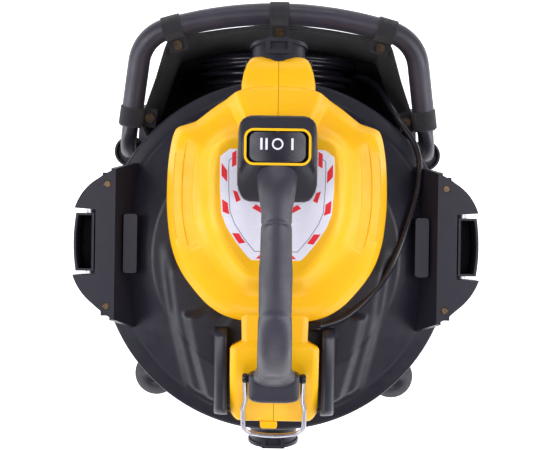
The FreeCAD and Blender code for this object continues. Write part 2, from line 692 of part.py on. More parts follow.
def drum():
    """A rolled wall with a rolled upper edge, and a dished floor welded to its foot."""
    r, t, weld = DRUM_R, DRUM_WALL, DRUM_BOTTOM + FLOOR_RISE
    wall = spin([(r - t, weld), (r, weld), (r, DRUM_TOP - 10), (r + BEAD, DRUM_TOP - 8), (r + BEAD, DRUM_TOP - 2),
                 (r + BEAD - 2, DRUM_TOP), (r - t, DRUM_TOP)])
    floor = spin([(0, DRUM_BOTTOM + FLOOR_DISH), (r - 45, DRUM_BOTTOM), (r - 12, DRUM_BOTTOM),
                  (r - 3, DRUM_BOTTOM + 3), (r, weld), (r - t, weld), (r - 12.5, DRUM_BOTTOM + t),
                  (r - 45, DRUM_BOTTOM + t), (0, DRUM_BOTTOM + FLOOR_DISH + t)])
    out = port_axis(-1)
    hole = cyl(PORT_R + RUN, 1.3 * INLET_L, tuple(inlet_mouth() - out * 1.3 * INLET_L), out)
    return Part.Compound([wall.cut(hole), floor])


def build_drum():
    add("drum", drum())
    seal = tube(DRUM_R + BEAD + 2, DRUM_R - 4, GASKET_H, (0, 0, DRUM_TOP))
    out = port_axis(-1)
    mouth = inlet_mouth()
    saddle = cyl(SADDLE_R, 40, (0, -(DRUM_R + SADDLE_T), mouth.z + 10), Y_AXIS)
    wall = cyl(DRUM_R + 2, HIGH, (0, 0, LOW))
    port = hose_port(mouth, -1, INLET_L).fuse(saddle.cut(wall))
    add("inlet_port", port.cut(hose_bore(mouth, -1, 2 * INLET_L)))
    ring = cyl(SADDLE_R - 2, 40, (0, -(DRUM_R + SADDLE_T), mouth.z + 10), Y_AXIS)
    ring = ring.common(wall).cut(cyl(DRUM_R, HIGH, (0, 0, LOW)))
    gasket = ring.cut(cyl(PORT_R + RUN, 200, tuple(mouth - out * 150), out))
    add("drum_gaskets", Part.Compound([seal] + gasket.Solids))
    add("inlet_deflector", deflector())
    add("latch_brackets", both(latch_bracket()))


def deflector():
    """A scoop on the inner end of the inlet that turns the stream along the drum wall."""
    out = port_axis(-1)
    back = inlet_mouth() - out * INLET_L
    start = back - out * 6
    sleeve = cyl(PORT_R + 4, 20, tuple(start), out).cut(cyl(PORT_R + RUN, 60, tuple(start - out * 10), out))
    sleeve = sleeve.cut(cyl(PORT_R + 6, 20, tuple(back + out * 8), out))
    hood = cyl(PORT_R + 4, 3, tuple(start - out * 3), out)
    return sleeve.fuse(hood).cut(box(0, WIDE, -WIDE, 0, INLET_Z - WIDE, INLET_Z + 10))


LATCH_Y0 = NOTCH_Y0 + LATCH_CLEAR_Y
LATCH_Y1 = NOTCH_Y1 - LATCH_CLEAR_Y
KNUCKLE_R = LATCH_PIN_R + 4.0


def latch_bracket():
    """Two lugs on a bracket under the rim, which carry the latch's hinge pin."""
    low = SKIRT_BOTTOM - 42
    top = SKIRT_BOTTOM - 8
    ledge = box(DRUM_R - 30, LATCH_PIN_X + 5, LATCH_Y0 - LUG_T - AIR, LATCH_Y1 + LUG_T + AIR, top - 12, top)
    foot = box(DRUM_R - 30, DRUM_R + 6, LATCH_Y0, LATCH_Y1, low, top)
    lugs = []
    for y in (LATCH_Y0 - LUG_T - AIR, LATCH_Y1 + AIR):
        lug = box(LATCH_PIN_X - 7, LATCH_PIN_X + 7, y, y + LUG_T, top - 12, LATCH_PIN_Z)
        lugs.append(lug.fuse(cyl(7, LUG_T, (LATCH_PIN_X, y, LATCH_PIN_Z), Y_AXIS)))
    bracket = ledge.fuse([foot] + lugs).cut(cyl(DRUM_R, 200, (0, 0, low - 50)))
    hole = cyl(LATCH_PIN_R, 200, (LATCH_PIN_X, LATCH_Y0 - 30, LATCH_PIN_Z), Y_AXIS)
    return bracket.cut(hole)


def side_latch():
    """A hollow lever, open at the top, on a hinge knuckle."""
    floor = LATCH_PIN_Z + KNUCKLE_R
    bulge = 3.0
    mid = (LATCH_Y0 + LATCH_Y1) / 2

    def plan(inset):
        x0, x1 = LATCH_IN_X + inset, LATCH_OUT_X - bulge - inset
        y0, y1 = LATCH_Y0 + inset, LATCH_Y1 - inset
        return Part.Wire([
            Part.LineSegment(V(x0, y0, 0), V(x1, y0, 0)).toShape(),
            Part.Arc(V(x1, y0, 0), V(x1 + bulge, mid, 0), V(x1, y1, 0)).toShape(),
            Part.LineSegment(V(x1, y1, 0), V(x0, y1, 0)).toShape(),
            Part.LineSegment(V(x0, y1, 0), V(x0, y0, 0)).toShape()])

    cup = prism(plan(0), floor - 2, LATCH_TOP).cut(prism(plan(LATCH_WALL), floor + 3, LATCH_TOP + 1))
    knuckle = cyl(KNUCKLE_R, LATCH_Y1 - LATCH_Y0, (LATCH_PIN_X, LATCH_Y0, LATCH_PIN_Z), Y_AXIS)
    lever = cup.fuse(knuckle)
    return lever.cut(cyl(LATCH_PIN_R + RUN, 200, (LATCH_PIN_X, LATCH_Y0 - 30, LATCH_PIN_Z), Y_AXIS))


def build_latches():
    add_pair("side_latch", side_latch())
    length = LATCH_Y1 - LATCH_Y0 + 2 * (LUG_T + AIR)
    pin = cyl(LATCH_PIN_R, length, (LATCH_PIN_X, LATCH_Y0 - LUG_T - AIR, LATCH_PIN_Z), Y_AXIS)
    add("latch_pins", both(pin))


# ================================================================ head: black base
def head_dome():
    """The base's shape of revolution, with or without its hollow."""
    skirt_in = HEAD_R - SKIRT_T
    under = DRUM_TOP + GASKET_H
    w = HEAD_WALL
    return spin([
        (skirt_in, SKIRT_BOTTOM), (HEAD_R, SKIRT_BOTTOM), (HEAD_R, FLANGE_TOP - 3), (HEAD_R - 3, FLANGE_TOP),
        (FLANGE_IN_R, FLANGE_TOP), (FLANGE_IN_R - 4, FLANGE_TOP + 6), (DOME_R, DOME_TOP), (0, DOME_TOP),
        (0, DOME_TOP - w), (DOME_R - 2, DOME_TOP - w), (FLANGE_IN_R - 10, FLANGE_TOP + 3),
        (FLANGE_IN_R - 10, under + w), (LEDGE_IN_R, under + w), (LEDGE_IN_R, under), (skirt_in, under)])


def ear():
    """A side wing: a flat top with a notch for the latch, skirts, and a sloping inner wall."""
    tip_x, low = LATCH_OUT_X + 1, FLANGE_TOP + 12
    a, b = V(EAR_IN_X, EAR_Y0, 0), V(EAR_IN_X, EAR_Y1, 0)
    rear = [b, V(HEAD_R - 12, EAR_Y1 - 7, 0), V(HEAD_R + 4, EAR_Y1 - 18, 0)]
    rear_tip, front_tip = V(tip_x - 2, NOTCH_Y1 + 2, 0), V(tip_x, NOTCH_Y0 - 1, 0)
    front = [V(HEAD_R + 3, EAR_Y0 + 21, 0), V(HEAD_R - 12, EAR_Y0 + 8, 0), a]
    notch = [V(NOTCH_X, NOTCH_Y1, 0), V(NOTCH_X, NOTCH_Y0, 0)]
    edges = [Part.makePolygon(rear).Edges, [Part.Arc(rear[-1], V(HEAD_R + 19, EAR_Y1 - 34, 0), rear_tip).toShape()],
             Part.makePolygon([rear_tip] + notch + [front_tip]).Edges,
             [Part.Arc(front_tip, V(HEAD_R + 20, EAR_Y0 + 39, 0), front[0]).toShape()],
             Part.makePolygon(front + [b]).Edges]
    outline = Part.Wire([e for group in edges for e in group])
    top = prism(outline, EAR_TOP - 4, EAR_TOP)
    block = prism(outline, low, EAR_TOP - 4)
    skirt = block.cut(prism(outline.makeOffset2D(-3.0), low - 1, EAR_TOP))
    wall = Part.Face(Part.makePolygon([V(EAR_FOOT_X, 0, FLANGE_TOP + 5), V(EAR_FOOT_X + 5, 0, FLANGE_TOP + 1),
                                       V(EAR_IN_X + 6, 0, EAR_TOP - 4), V(EAR_IN_X + 6, 0, EAR_TOP),
                                       V(EAR_IN_X, 0, EAR_TOP), V(EAR_FOOT_X, 0, FLANGE_TOP + 5)]))
    wall = wall.extrude(V(0, EAR_Y1 - EAR_Y0 + 24, 0))
    wall.translate(V(0, EAR_Y0 - 14, 0))
    corner = slab([(EAR_Y0 - 15, FLANGE_TOP), (EAR_Y0, EAR_TOP), (EAR_Y1, EAR_TOP), (EAR_Y1 + 11, FLANGE_TOP)],
                  EAR_FOOT_X - 40, LATCH_OUT_X + 31)
    foot = box(FLANGE_IN_R, HEAD_R - 6, EAR_Y0 + 4, EAR_Y1 - 5, FLANGE_TOP - 2, EAR_TOP - 20).cut(
        box(FLANGE_IN_R + 4, HEAD_R, NOTCH_Y0 + 6, NOTCH_Y1 - 6, FLANGE_TOP - 3, EAR_TOP))
    return top.fuse([skirt, wall.common(corner), foot])


def pedestal():
    """The step under the cover, which follows its outline."""
    return prism(cover_outline(-3.0, with_boss=False), FLANGE_TOP, DOME_TOP)


def flank():
    """The upright wall beside the cover's spine."""
    top = SPINE_HIGH - 4
    end = SPINE_END_Y + 12
    return slab([(-96, DOME_TOP - 20), (-96, top), (end + 8, top - 30), (end, top - 41), (end, FLANGE_TOP - 6)],
                FLANK_X, FLANK_X + FLANK_T)


BLOCK_X = BOSS_X - 5.0


def outlet_block():
    """The block behind the cover that carries the blower port, standing on the dome."""
    top = OUTLET_Z + PORT_R + 2
    low = FLANGE_TOP + 15
    return slab([(BLOCK_Y0, low), (BLOCK_Y0 + 27, low), (BLOCK_Y1, DOME_TOP), (BLOCK_Y1, top - 8),
                 (BLOCK_Y1 - 12, top), (BLOCK_Y0, top)], -BLOCK_X, BLOCK_X).cut(dome_outside())


def dome_outside():
    """Everything under the upper surface of the flange and the dome."""
    return spin([(0, LOW), (HEAD_R - 5, LOW), (HEAD_R - 5, FLANGE_TOP), (FLANGE_IN_R, FLANGE_TOP),
                 (FLANGE_IN_R - 4, FLANGE_TOP + 6), (DOME_R, DOME_TOP), (0, DOME_TOP)])


def build_head_base():
    inner_void = spin([(0, DRUM_TOP), (LEDGE_IN_R, DRUM_TOP), (LEDGE_IN_R, DRUM_TOP + 2 * GASKET_H),
                       (FLANGE_IN_R - 10, DRUM_TOP + 2 * GASKET_H), (FLANGE_IN_R - 10, FLANGE_TOP + 3),
                       (DOME_R - 2, DOME_TOP - HEAD_WALL), (0, DOME_TOP - HEAD_WALL)])
    base = head_dome().fuse([pedestal().cut(dome_outside()), both(flank()).cut(dome_outside())])
    base = base.cut(inner_void)
    for side in (-1, 1):
        base = base.cut(cyl(CAN_R + 6, 40, (side * MOTOR_X, MOTOR_Y, DOME_TOP - 20)))
    base = base.cut(cyl(VENT_R, 40, (0, VENT_Y, DOME_TOP - 20)))
    base = max(base.removeSplitter().Solids, key=lambda s: s.Volume)
    add("head_base", base)
    wing = max(ear().cut(dome_outside()).cut(base).Solids, key=lambda s: s.Volume)
    add("side_wings", both(wing))
    pad = rounded_box(PAD_X0, PAD_X1, PAD_Y0, PAD_Y1, FLANGE_TOP + 2, PAD_TOP, 4.0)
    pad = max(pad.cut([base, wing]).Solids, key=lambda s: s.Volume)
    add("latch_keepers", both(pad))


# ================================================================ head: yellow cover
def cover_outline(inset, with_boss=True):
    """The cover in plan. The shoulders and the flat sides break the round outline."""
    rear = math.sqrt(COVER_R ** 2 - BOSS_X ** 2) + COVER_Y
    turn = COVER_R * math.sin(math.radians(45))
    arc_end = V(104, COVER_Y + math.sqrt(COVER_R ** 2 - 104 ** 2), 0)
    arc_mid = V(78, COVER_Y + math.sqrt(COVER_R ** 2 - 78 ** 2), 0)
    neck = V(NECK_X, COVER_Y - math.sqrt(COVER_R ** 2 - NECK_X ** 2), 0)
    belly = V(turn + 2, COVER_Y - turn, 0)
    right = [Part.Arc(V(BOSS_X, rear, 0), arc_mid, arc_end).toShape()]
    right += Part.makePolygon([arc_end, V(SHOULDER_X, SHOULDER_Y, 0), V(COVER_X, 120, 0), V(COVER_X, 50, 0)]).Edges
    right.append(Part.Arc(V(COVER_X, 50, 0), belly, neck).toShape())
    left = [flip(e) for e in right]
    front = [Part.LineSegment(neck, V(-neck.x, neck.y, 0)).toShape()]
    if with_boss:
        boss = [Part.LineSegment(V(BOSS_X, rear, 0), V(BOSS_X - 1, BOSS_Y - 23, 0)).toShape(),
                Part.Arc(V(BOSS_X - 1, BOSS_Y - 23, 0), V(0, BOSS_Y, 0), V(1 - BOSS_X, BOSS_Y - 23, 0)).toShape(),
                Part.LineSegment(V(1 - BOSS_X, BOSS_Y - 23, 0), V(-BOSS_X, rear, 0)).toShape()]
    else:
        boss = [Part.LineSegment(V(BOSS_X, rear, 0), V(-BOSS_X, rear, 0)).toShape()]
    wire = Part.Wire(Part.__sortEdges__(right + left + front + boss))
    return wire.makeOffset2D(-inset) if inset else wire


def crown_outline(inset):
    """The shield-shaped plateau that carries the label."""
    w, y1, y0 = 78 - inset, 140 - inset, -10 + inset
    points = [V(w - 12, y1, 0), V(w, y1 - 16, 0), V(w - 2, 62, 0), V(w - 22, 20, 0), V(38 - inset, y0, 0)]
    points += [V(-p.x, p.y, 0) for p in reversed(points)]
    return Part.makePolygon(points + points[:1])


def spine(inset, drop):
    """The narrow front run of the cover, which slopes down to the rim."""
    x, y_end = SPINE_X - inset, SPINE_END_Y + inset
    half = [V(NECK_X - inset, -60, 0), V(NECK_X - inset, -108, 0), V(x, -124, 0), V(x, y_end + 12, 0),
            V(x - 9, y_end, 0)]
    points = half + [V(-p.x, p.y, 0) for p in reversed(half)]
    body = prism(Part.makePolygon(points + points[:1]), LOW, HIGH)
    profile = [(-60, LOW), (-60, SPINE_HIGH - drop), (-95, SPINE_HIGH - drop), (-150, SPINE_HIGH - 10 - drop),
               (-195, SPINE_LOW + 8 - drop), (-230, SPINE_LOW - drop), (-230, LOW)]
    return body.common(slab(profile, -WIDE, WIDE))


def cover_block(inset, drop):
    """The cover's outer form, or with an inset and a drop the hollow inside it."""
    low = LOW if inset else DOME_TOP
    blocks = []
    for step, top in TIERS:
        outline = cover_outline(step + inset, with_boss=(step == 0.0))
        blocks.append(prism(outline, low, DOME_TOP + top - drop))
    blocks.append(prism(crown_outline(inset), low, CROWN_TOP - drop))
    boss = slab([(150, low), (150, BOSS_LID - drop), (235, BOSS_LID - drop), (270, BOSS_LID - 9 - drop), (270, low)],
                -BOSS_X + 1 + inset, BOSS_X - 1 - inset)
    blocks.append(boss.common(prism(cover_outline(inset), LOW, HIGH)))
    blocks.append(spine(inset, drop))
    return blocks[0].fuse(blocks[1:])


def build_cover():
    outer = cover_block(0.0, 0.0)
    inner = cover_block(COVER_WALL, COVER_WALL)
    low = box(-WIDE, WIDE, -WIDE, WIDE, LOW, DOME_TOP).cut(box(-70, 70, -300, -80, LOW, DOME_TOP))
    under_port = box(-BLOCK_X, BLOCK_X, BLOCK_Y0 + 15, WIDE, LOW, OUTLET_Z + 8)
    shell = outer.cut(inner).cut(low)
    shell = shell.cut([dome_outside(), outlet_block(), under_port])
    out = port_axis(1)
    port = cyl(PORT_FLANGE_R + 1, 200, tuple(outlet_mouth() - out * (OUTLET_L - 6)), out)
    shell = shell.cut(port).cut(handle_blank())
    shell = shell.cut(cyl(GLAND_R, GLAND_L, (GLAND_X, GLAND_Y, GLAND_Z), X_AXIS))
    shell = max(shell.Solids, key=lambda s: s.Volume)
    for name, x0, x1 in (("cover_left", -WIDE, -SEAM), ("cover_right", SEAM, WIDE)):
        half = shell.common(box(x0, x1, -WIDE, WIDE, LOW, HIGH))
        add(name, max(half.Solids, key=lambda s: s.Volume))
    label = prism(crown_outline(5.0), CROWN_TOP, CROWN_TOP + LABEL_T)
    add("label_panel", label.cut(handle_blank()))


# ================================================================ head: carry handle
def grip_route():
    points = [(0, HOUSING_FRONT_Y + 24, GRIP_Z - 24), (0, HOUSING_FRONT_Y - 24, GRIP_Z), (0, GRIP_FRONT_Y, GRIP_Z),
              (0, (FOOT_Y0 + FOOT_Y1) / 2 + 4, FOOT_TOP - 14)]
    return route(points, [60.0, 70.0])


def handle_blank():
    """The whole carry handle, before its switch opening: housing, grip and front foot."""
    profile = [(HOUSING_Y0, CROWN_TOP - 2), (HOUSING_Y0 + 3, CROWN_TOP + 18), (HOUSING_FRONT_Y - 8, HOUSING_TOP - 8),
               (HOUSING_FRONT_Y + 4, HOUSING_TOP), (HOUSING_Y1 - 6, HOUSING_TOP), (HOUSING_Y1, HOUSING_TOP - 8),
               (HOUSING_Y1, CROWN_TOP - 46), (HOUSING_Y0, CROWN_TOP - 46)]
    housing = slab(profile, -HOUSING_X, HOUSING_X)
    plan = rounded_box(-HOUSING_X, HOUSING_X, HOUSING_Y0, HOUSING_Y1, LOW, HIGH, 14.0)
    housing = housing.common(plan)
    foot = rounded_box(-FOOT_X, FOOT_X, FOOT_Y0, FOOT_Y1, FOOT_BOTTOM, FOOT_TOP - 8, 8.0)
    neck = Part.makeLoft([rounded_ring(FOOT_X, FOOT_Y0, FOOT_Y1, FOOT_TOP - 8, 8.0),
                          rounded_ring(GRIP_R, FOOT_Y0 + 4, FOOT_Y1 + 2, FOOT_TOP + 6, 8.0)], True)
    return housing.fuse([sweep(grip_route(), GRIP_R), foot, neck]).removeSplitter()


def rounded_ring(half, y0, y1, z, radius):
    face = rounded_box(-half, half, y0, y1, z, z + 1, radius)
    ring = min(face.Faces, key=lambda f: f.CenterOfMass.z).OuterWire
    return ring


def switch_well(grow, z0, z1):
    return rounded_box(-BEZEL_X + grow, BEZEL_X - grow, SWITCH_Y - BEZEL_Y + grow, SWITCH_Y + BEZEL_Y - grow,
                       z0, z1, 12.0 - grow)


def rocker():
    """A three-position rocker: a low crown that dips at both ends."""
    depth, rise = 16.0, 4.0
    top = HOUSING_TOP + 2.5
    y0, y1 = SWITCH_Y - ROCKER_Y, SWITCH_Y + ROCKER_Y
    arc = Part.Arc(V(-ROCKER_X, y0, top), V(0, y0, top - rise), V(ROCKER_X, y0, top)).toShape()
    sides = Part.makePolygon([V(ROCKER_X, y0, top), V(ROCKER_X - 2, y0, top - depth), V(-ROCKER_X + 2, y0, top - depth),
                              V(-ROCKER_X, y0, top)])
    body = Part.Face(Part.Wire([arc] + sides.Edges)).extrude(V(0, y1 - y0, 0))
    plan = rounded_box(-ROCKER_X, ROCKER_X, y0, y1, top - depth - 5, top + 5, 9.0)
    body = body.common(plan)
    hinge = cyl(4.0, y1 - y0 + 4, (0, y0 - 2, ROCKER_PIVOT_Z), Y_AXIS)
    return body.fuse(hinge)


def build_carry_handle():
    blank = handle_blank()
    floor = HOUSING_TOP - 24
    hollow = switch_well(3.0, floor, HOUSING_TOP + 5)
    ledge = switch_well(0.0, HOUSING_TOP - BEZEL_T, HOUSING_TOP + 5)
    drain = box(-HOUSING_X + 6, HOUSING_X - 6, HOUSING_Y0 + 40, HOUSING_Y1 - 6, LOW, floor - 4)
    shell = blank.cut([hollow, ledge, drain])
    core = sweep(grip_route(), GRIP_R - 5).common(box(-WIDE, WIDE, GRIP_FRONT_Y - 38, HOUSING_Y0 - 4, LOW, HIGH))
    shell = shell.cut(core)
    hinge = cyl(4.0 + RUN, 2 * ROCKER_Y + 5, (0, SWITCH_Y - ROCKER_Y - 2.5, ROCKER_PIVOT_Z), Y_AXIS)
    shell = shell.cut(hinge)
    bail_pin = cyl(BAIL_R + RUN, 2 * FOOT_X + 10, (-FOOT_X - 5, BAIL_HINGE_Y, BAIL_HINGE_Z), X_AXIS)
    shell = shell.cut(bail_pin.cut(box(-FOOT_X + 12, FOOT_X - 12, -WIDE, WIDE, LOW, HIGH)))
    for name, x0, x1 in (("handle_shell_left", -WIDE, -SEAM), ("handle_shell_right", SEAM, WIDE)):
        half = shell.common(box(x0, x1, -WIDE, WIDE, LOW, HIGH))
        add(name, max(half.Solids, key=lambda s: s.Volume))
    bezel = switch_well(0.0, HOUSING_TOP - BEZEL_T, HOUSING_TOP + 0.5)
    bezel = bezel.cut(switch_well(3.0, HOUSING_TOP - BEZEL_T - 1, HOUSING_TOP + 2))
    add("switch_bezel", bezel)
    add("rocker_switch", rocker())
    block = box(-26, 26, SWITCH_Y - 15, SWITCH_Y + 15, floor - 4 - SWITCH_BLOCK_H, floor - 4.5)
    terminals = [box(x - 3, x + 3, SWITCH_Y - 4, SWITCH_Y + 4, floor - 14 - SWITCH_BLOCK_H, floor - 4 - SWITCH_BLOCK_H)
                 for x in (-18, -6, 6, 18)]
    add("switch_block", block.fuse(terminals))


def bail_points():
    """The bail from one hinge end, down and round the front, to the other."""
    down = V(0, BAIL_END_Y - BAIL_HINGE_Y, BAIL_END_Z - BAIL_HINGE_Z)
    knee = V(0, BAIL_HINGE_Y, BAIL_HINGE_Z) + down * 0.38
    half = [(FOOT_X - 10, BAIL_HINGE_Y, BAIL_HINGE_Z), (BAIL_TOP_X, BAIL_HINGE_Y, BAIL_HINGE_Z),
            (BAIL_TOP_X, knee.y, knee.z), (BAIL_X, knee.y + down.y * 0.15, knee.z + down.z * 0.15),
            (BAIL_X, BAIL_END_Y + 6, BAIL_END_Z)]
    tip = (0, BAIL_END_Y - 3, BAIL_END_Z)
    return half + [tip] + [(-x, y, z) for x, y, z in reversed(half)]


def build_bail():
    points = bail_points()
    radii = [BAIL_R + 1.2, BAIL_BEND, BAIL_BEND, BAIL_BEND, 150.0, BAIL_BEND, BAIL_BEND, BAIL_BEND, BAIL_R + 1.2]
    add("bail_wire", sweep(route(points, radii), BAIL_R))


# ================================================================ head: inside
def build_motors():
    floor = DRUM_TOP + GASKET_H
    plate = cyl(PLATE_R, MOTOR_PLATE_T, (0, 0, floor - MOTOR_PLATE_T))
    for side in (-1, 1):
        plate = plate.cut(cyl(EYE_R + 4, 20, (side * MOTOR_X, MOTOR_Y, floor - 10)))
    add("motor_plate", plate)
    seals = tube(EYE_R + 20, EYE_R + 4, 4.0, (MOTOR_X, MOTOR_Y, floor))
    add("motor_seals", both(seals))
    low = floor + 4.0
    top = low + FAN_H
    fan = cyl(FAN_R, FAN_H, (MOTOR_X, MOTOR_Y, low)).cut(
        cyl(FAN_R - FAN_WALL, FAN_H - 2 * FAN_WALL, (MOTOR_X, MOTOR_Y, low + FAN_WALL)))
    fan = fan.cut(cyl(EYE_R, 10, (MOTOR_X, MOTOR_Y, low - 2)))
    fan = fan.cut(cyl(SHAFT_R + 1, 10, (MOTOR_X, MOTOR_Y, top - 6)))
    can = tube(CAN_R, CAN_R - 5, CAN_TOP - top, (MOTOR_X, MOTOR_Y, top))
    lid = tube(CAN_R, SHAFT_R + RUN, 4, (MOTOR_X, MOTOR_Y, CAN_TOP - 4))
    add("motor_housings", both(fan.fuse([can, lid])))
    shaft = cyl(SHAFT_R, CAN_TOP + 3 - low - 8, (MOTOR_X, MOTOR_Y, low + 8))
    wheels = [cyl(IMPELLER_R, 9, (MOTOR_X, MOTOR_Y, z)) for z in (low + 9, low + 26)]
    armature = cyl(ARMATURE_R, 48, (MOTOR_X, MOTOR_Y, top + 8))
    brushes = cyl(13, 10, (MOTOR_X, MOTOR_Y, top + 58))
    add_pair("motor_rotor", shaft.fuse(wheels + [armature, brushes]))
    foam = spin([(172, floor + HEAD_WALL + 1), (LEDGE_IN_R - 2, floor + HEAD_WALL + 1), (LEDGE_IN_R - 2, floor + 16),
                 (172, floor + 26)])
    add("exhaust_foam", foam)


def build_filter():
    top = DRUM_TOP + GASKET_H - MOTOR_PLATE_T
    low = top - MANIFOLD_H
    cup = cyl(MANIFOLD_R, MANIFOLD_H, (0, 0, low)).cut(cyl(MANIFOLD_R - 3, MANIFOLD_H, (0, 0, low + 3)))
    add("suction_manifold", cup.cut(cyl(VALVE_R, 10, (0, 0, low - 2))))
    cage = cyl(CAGE_R, CAGE_H, (0, 0, low - CAGE_H)).cut(
        cyl(CAGE_R - CAGE_T, CAGE_H, (0, 0, low - CAGE_H + CAGE_T)))
    for i in range(4):
        slot = box(-6, 6, 0, CAGE_R + 5, low - CAGE_H + 10, low - 12)
        slot.rotate(V(0, 0, 0), Z_AXIS, 90 * i + 45)
        cage = cage.cut(slot)
    bottom = low - FILTER_H - END_PLATE_T
    stud = cyl(STUD_R, low - CAGE_H - bottom + KNOB_H, (0, 0, bottom - KNOB_H))
    add("float_cage", cage.fuse(stud))
    add("float_ball", Part.makeSphere(BALL_R, V(0, 0, low - CAGE_H + CAGE_T + BALL_R + BALL_GAP)))
    add("filter_cartridge", tube(FILTER_R, FILTER_IN_R, FILTER_H, (0, 0, low - FILTER_H)))
    knob = cyl(KNOB_R, KNOB_H, (0, 0, bottom - KNOB_H))
    knob = soften(knob, 3, lambda e: e.CenterOfMass.z < bottom - KNOB_H + 1 and e.Length > 60)
    add("filter_end_plate", cyl(FILTER_R + 2, END_PLATE_T, (0, 0, bottom)).fuse(knob).cut(stud))


def build_outlet():
    """The blower port and its block in one moulding, open to the space under the cover."""
    mouth = outlet_mouth()
    solid = hose_port(mouth, 1, OUTLET_L).fuse(outlet_block())
    bore = hose_bore(mouth, 1, 2 * OUTLET_L)
    add("blower_port", solid.cut([bore, NODES["head_base"]]).removeSplitter())


# ================================================================ power cord
# The lead's route from the gland, over the head and the rim, into the bag.
CORD_POINTS = [
    (62.0, -91.0, 766.0), (84.0, -86.0, 758.0), (108.0, -70.0, 748.0), (130.0, -49.0, 743.0),
    (148.0, -25.0, 743.0), (163.0, 7.0, 741.0), (175.0, 42.0, 733.0), (187.0, 76.0, 719.0),
    (193.0, 109.0, 714.0), (192.0, 138.0, 709.0), (184.0, 160.0, 704.0), (168.0, 181.0, 699.0),
    (156.0, 204.0, 680.0), (146.0, 226.0, 652.0), (136.0, 243.0, 620.0), (125.0, 255.0, 586.0),
    (114.0, 261.0, 550.0)]
# From the coil's inner turn to the plug, which is kept in the middle of the coil.
TAIL_POINTS = [(84.0, 261.0, 572.0), (74.0, 261.0, 545.0), (52.0, 261.0, 525.0),
               (24.0, 261.0, 519.0), (8.0, 261.0, 520.0)]


def coil():
    """The outer shape of the wound lead, an oval ring that stands in the bag."""
    def oval(a, b):
        curve = Part.Ellipse(V(0, 0, 0), a, b).toShape()
        return Part.Face(Part.Wire(curve)).extrude(V(0, 0, COIL_T))

    ring = oval(COIL_A, COIL_B).cut(oval(COIL_A - COIL_BAND, COIL_B - COIL_BAND))
    ring.rotate(V(0, 0, 0), X_AXIS, 90)
    ring.translate(V(0, COIL_Y + COIL_T / 2, COIL_Z))
    return ring


def cord_tube(points):
    """A tube along straight runs joined by tangent arcs, with its radii printed."""
    radii = arc_radii(points)
    path = route(points, radii)
    solid = sweep(path, CORD_R)
    expected = path.Length * math.pi * CORD_R ** 2
    print("cord radii", [round(r) for r in radii], "length", round(path.Length),
          "volume ratio", round(solid.Volume / expected, 4))
    return solid


def power_plug():
    """A round plug with a collar, a tapered neck and two pins."""
    x, r = PLUG_X, PLUG_R
    profile = [(x, 0), (x, CORD_R + 2), (x - 8, CORD_R + 4), (x - 14, r - 3), (x - 18, r), (x - PLUG_L, r),
               (x - PLUG_L, 0)]
    body = spin_x(profile, COIL_Y, TAIL_POINTS[-1][2])
    pins = [cyl(2.4, PIN_L, (x - PLUG_L, COIL_Y + y, TAIL_POINTS[-1][2]), V(-1, 0, 0)) for y in (-9.5, 9.5)]
    return body.fuse(pins)


def build_cord():
    gland = spin_x([(GLAND_X, 0), (GLAND_X, GLAND_R), (SPINE_X, GLAND_R),
                    (GLAND_X + GLAND_L, CORD_R + 1), (GLAND_X + GLAND_L, 0)], GLAND_Y, GLAND_Z)
    add("cord_gland", gland.cut(NODES["cover_right"]))
    ring = coil()
    add("power_cord", cord_tube(CORD_POINTS).cut([ring, NODES["cord_gland"]]))
    add("cord_coil", ring)
    plug = power_plug()
    add("cord_tail", cord_tube(TAIL_POINTS).cut([ring, plug]))
    add("power_plug", plug)


# ================================================================ screws
def build_screws():
    """Countersunk screws of the side wings."""
    screws = []
    for y in (EAR_Y0 + 18, EAR_Y1 - 21):
        screws.append(spin([(0, EAR_TOP + 1.2), (4, EAR_TOP + 1.2), (5, EAR_TOP), (0, EAR_TOP)], (HEAD_R - 15, y)))
    add("wing_screws", both(Part.Compound(screws)))


def centre_and_write():
    """Moves the origin under the middle of the machine, and writes one file a node."""
    cord = {"power_cord", "cord_coil", "cord_tail", "power_plug"}
    bounds = FreeCAD.BoundBox()
    for name, shape in NODES.items():
        if name not in cord:
            bounds.add(shape.optimalBoundingBox(False))
    shift = V(-(bounds.XMin + bounds.XMax) / 2, -(bounds.YMin + bounds.YMax) / 2, -bounds.ZMin)
    os.makedirs("parts", exist_ok=True)
    for old in glob.glob("parts/*.step"):
        os.remove(old)
    for name, shape in NODES.items():
        shape.translate(shift)
        if not shape.isValid() or any(s.Volume <= 0 for s in shape.Solids):
            print("not a good solid:", name)
        shape.exportStep(os.path.join("parts", name + ".step"))
    print("shift", [round(v, 3) for v in shift], "nodes", len(NODES))
    return shift


build_trolley()
build_handle()
build_drum()
build_latches()
build_head_base()
build_cover()
build_carry_handle()
build_bail()
build_motors()
build_filter()
build_outlet()
build_cord()
build_screws()
SHIFT = centre_and_write()
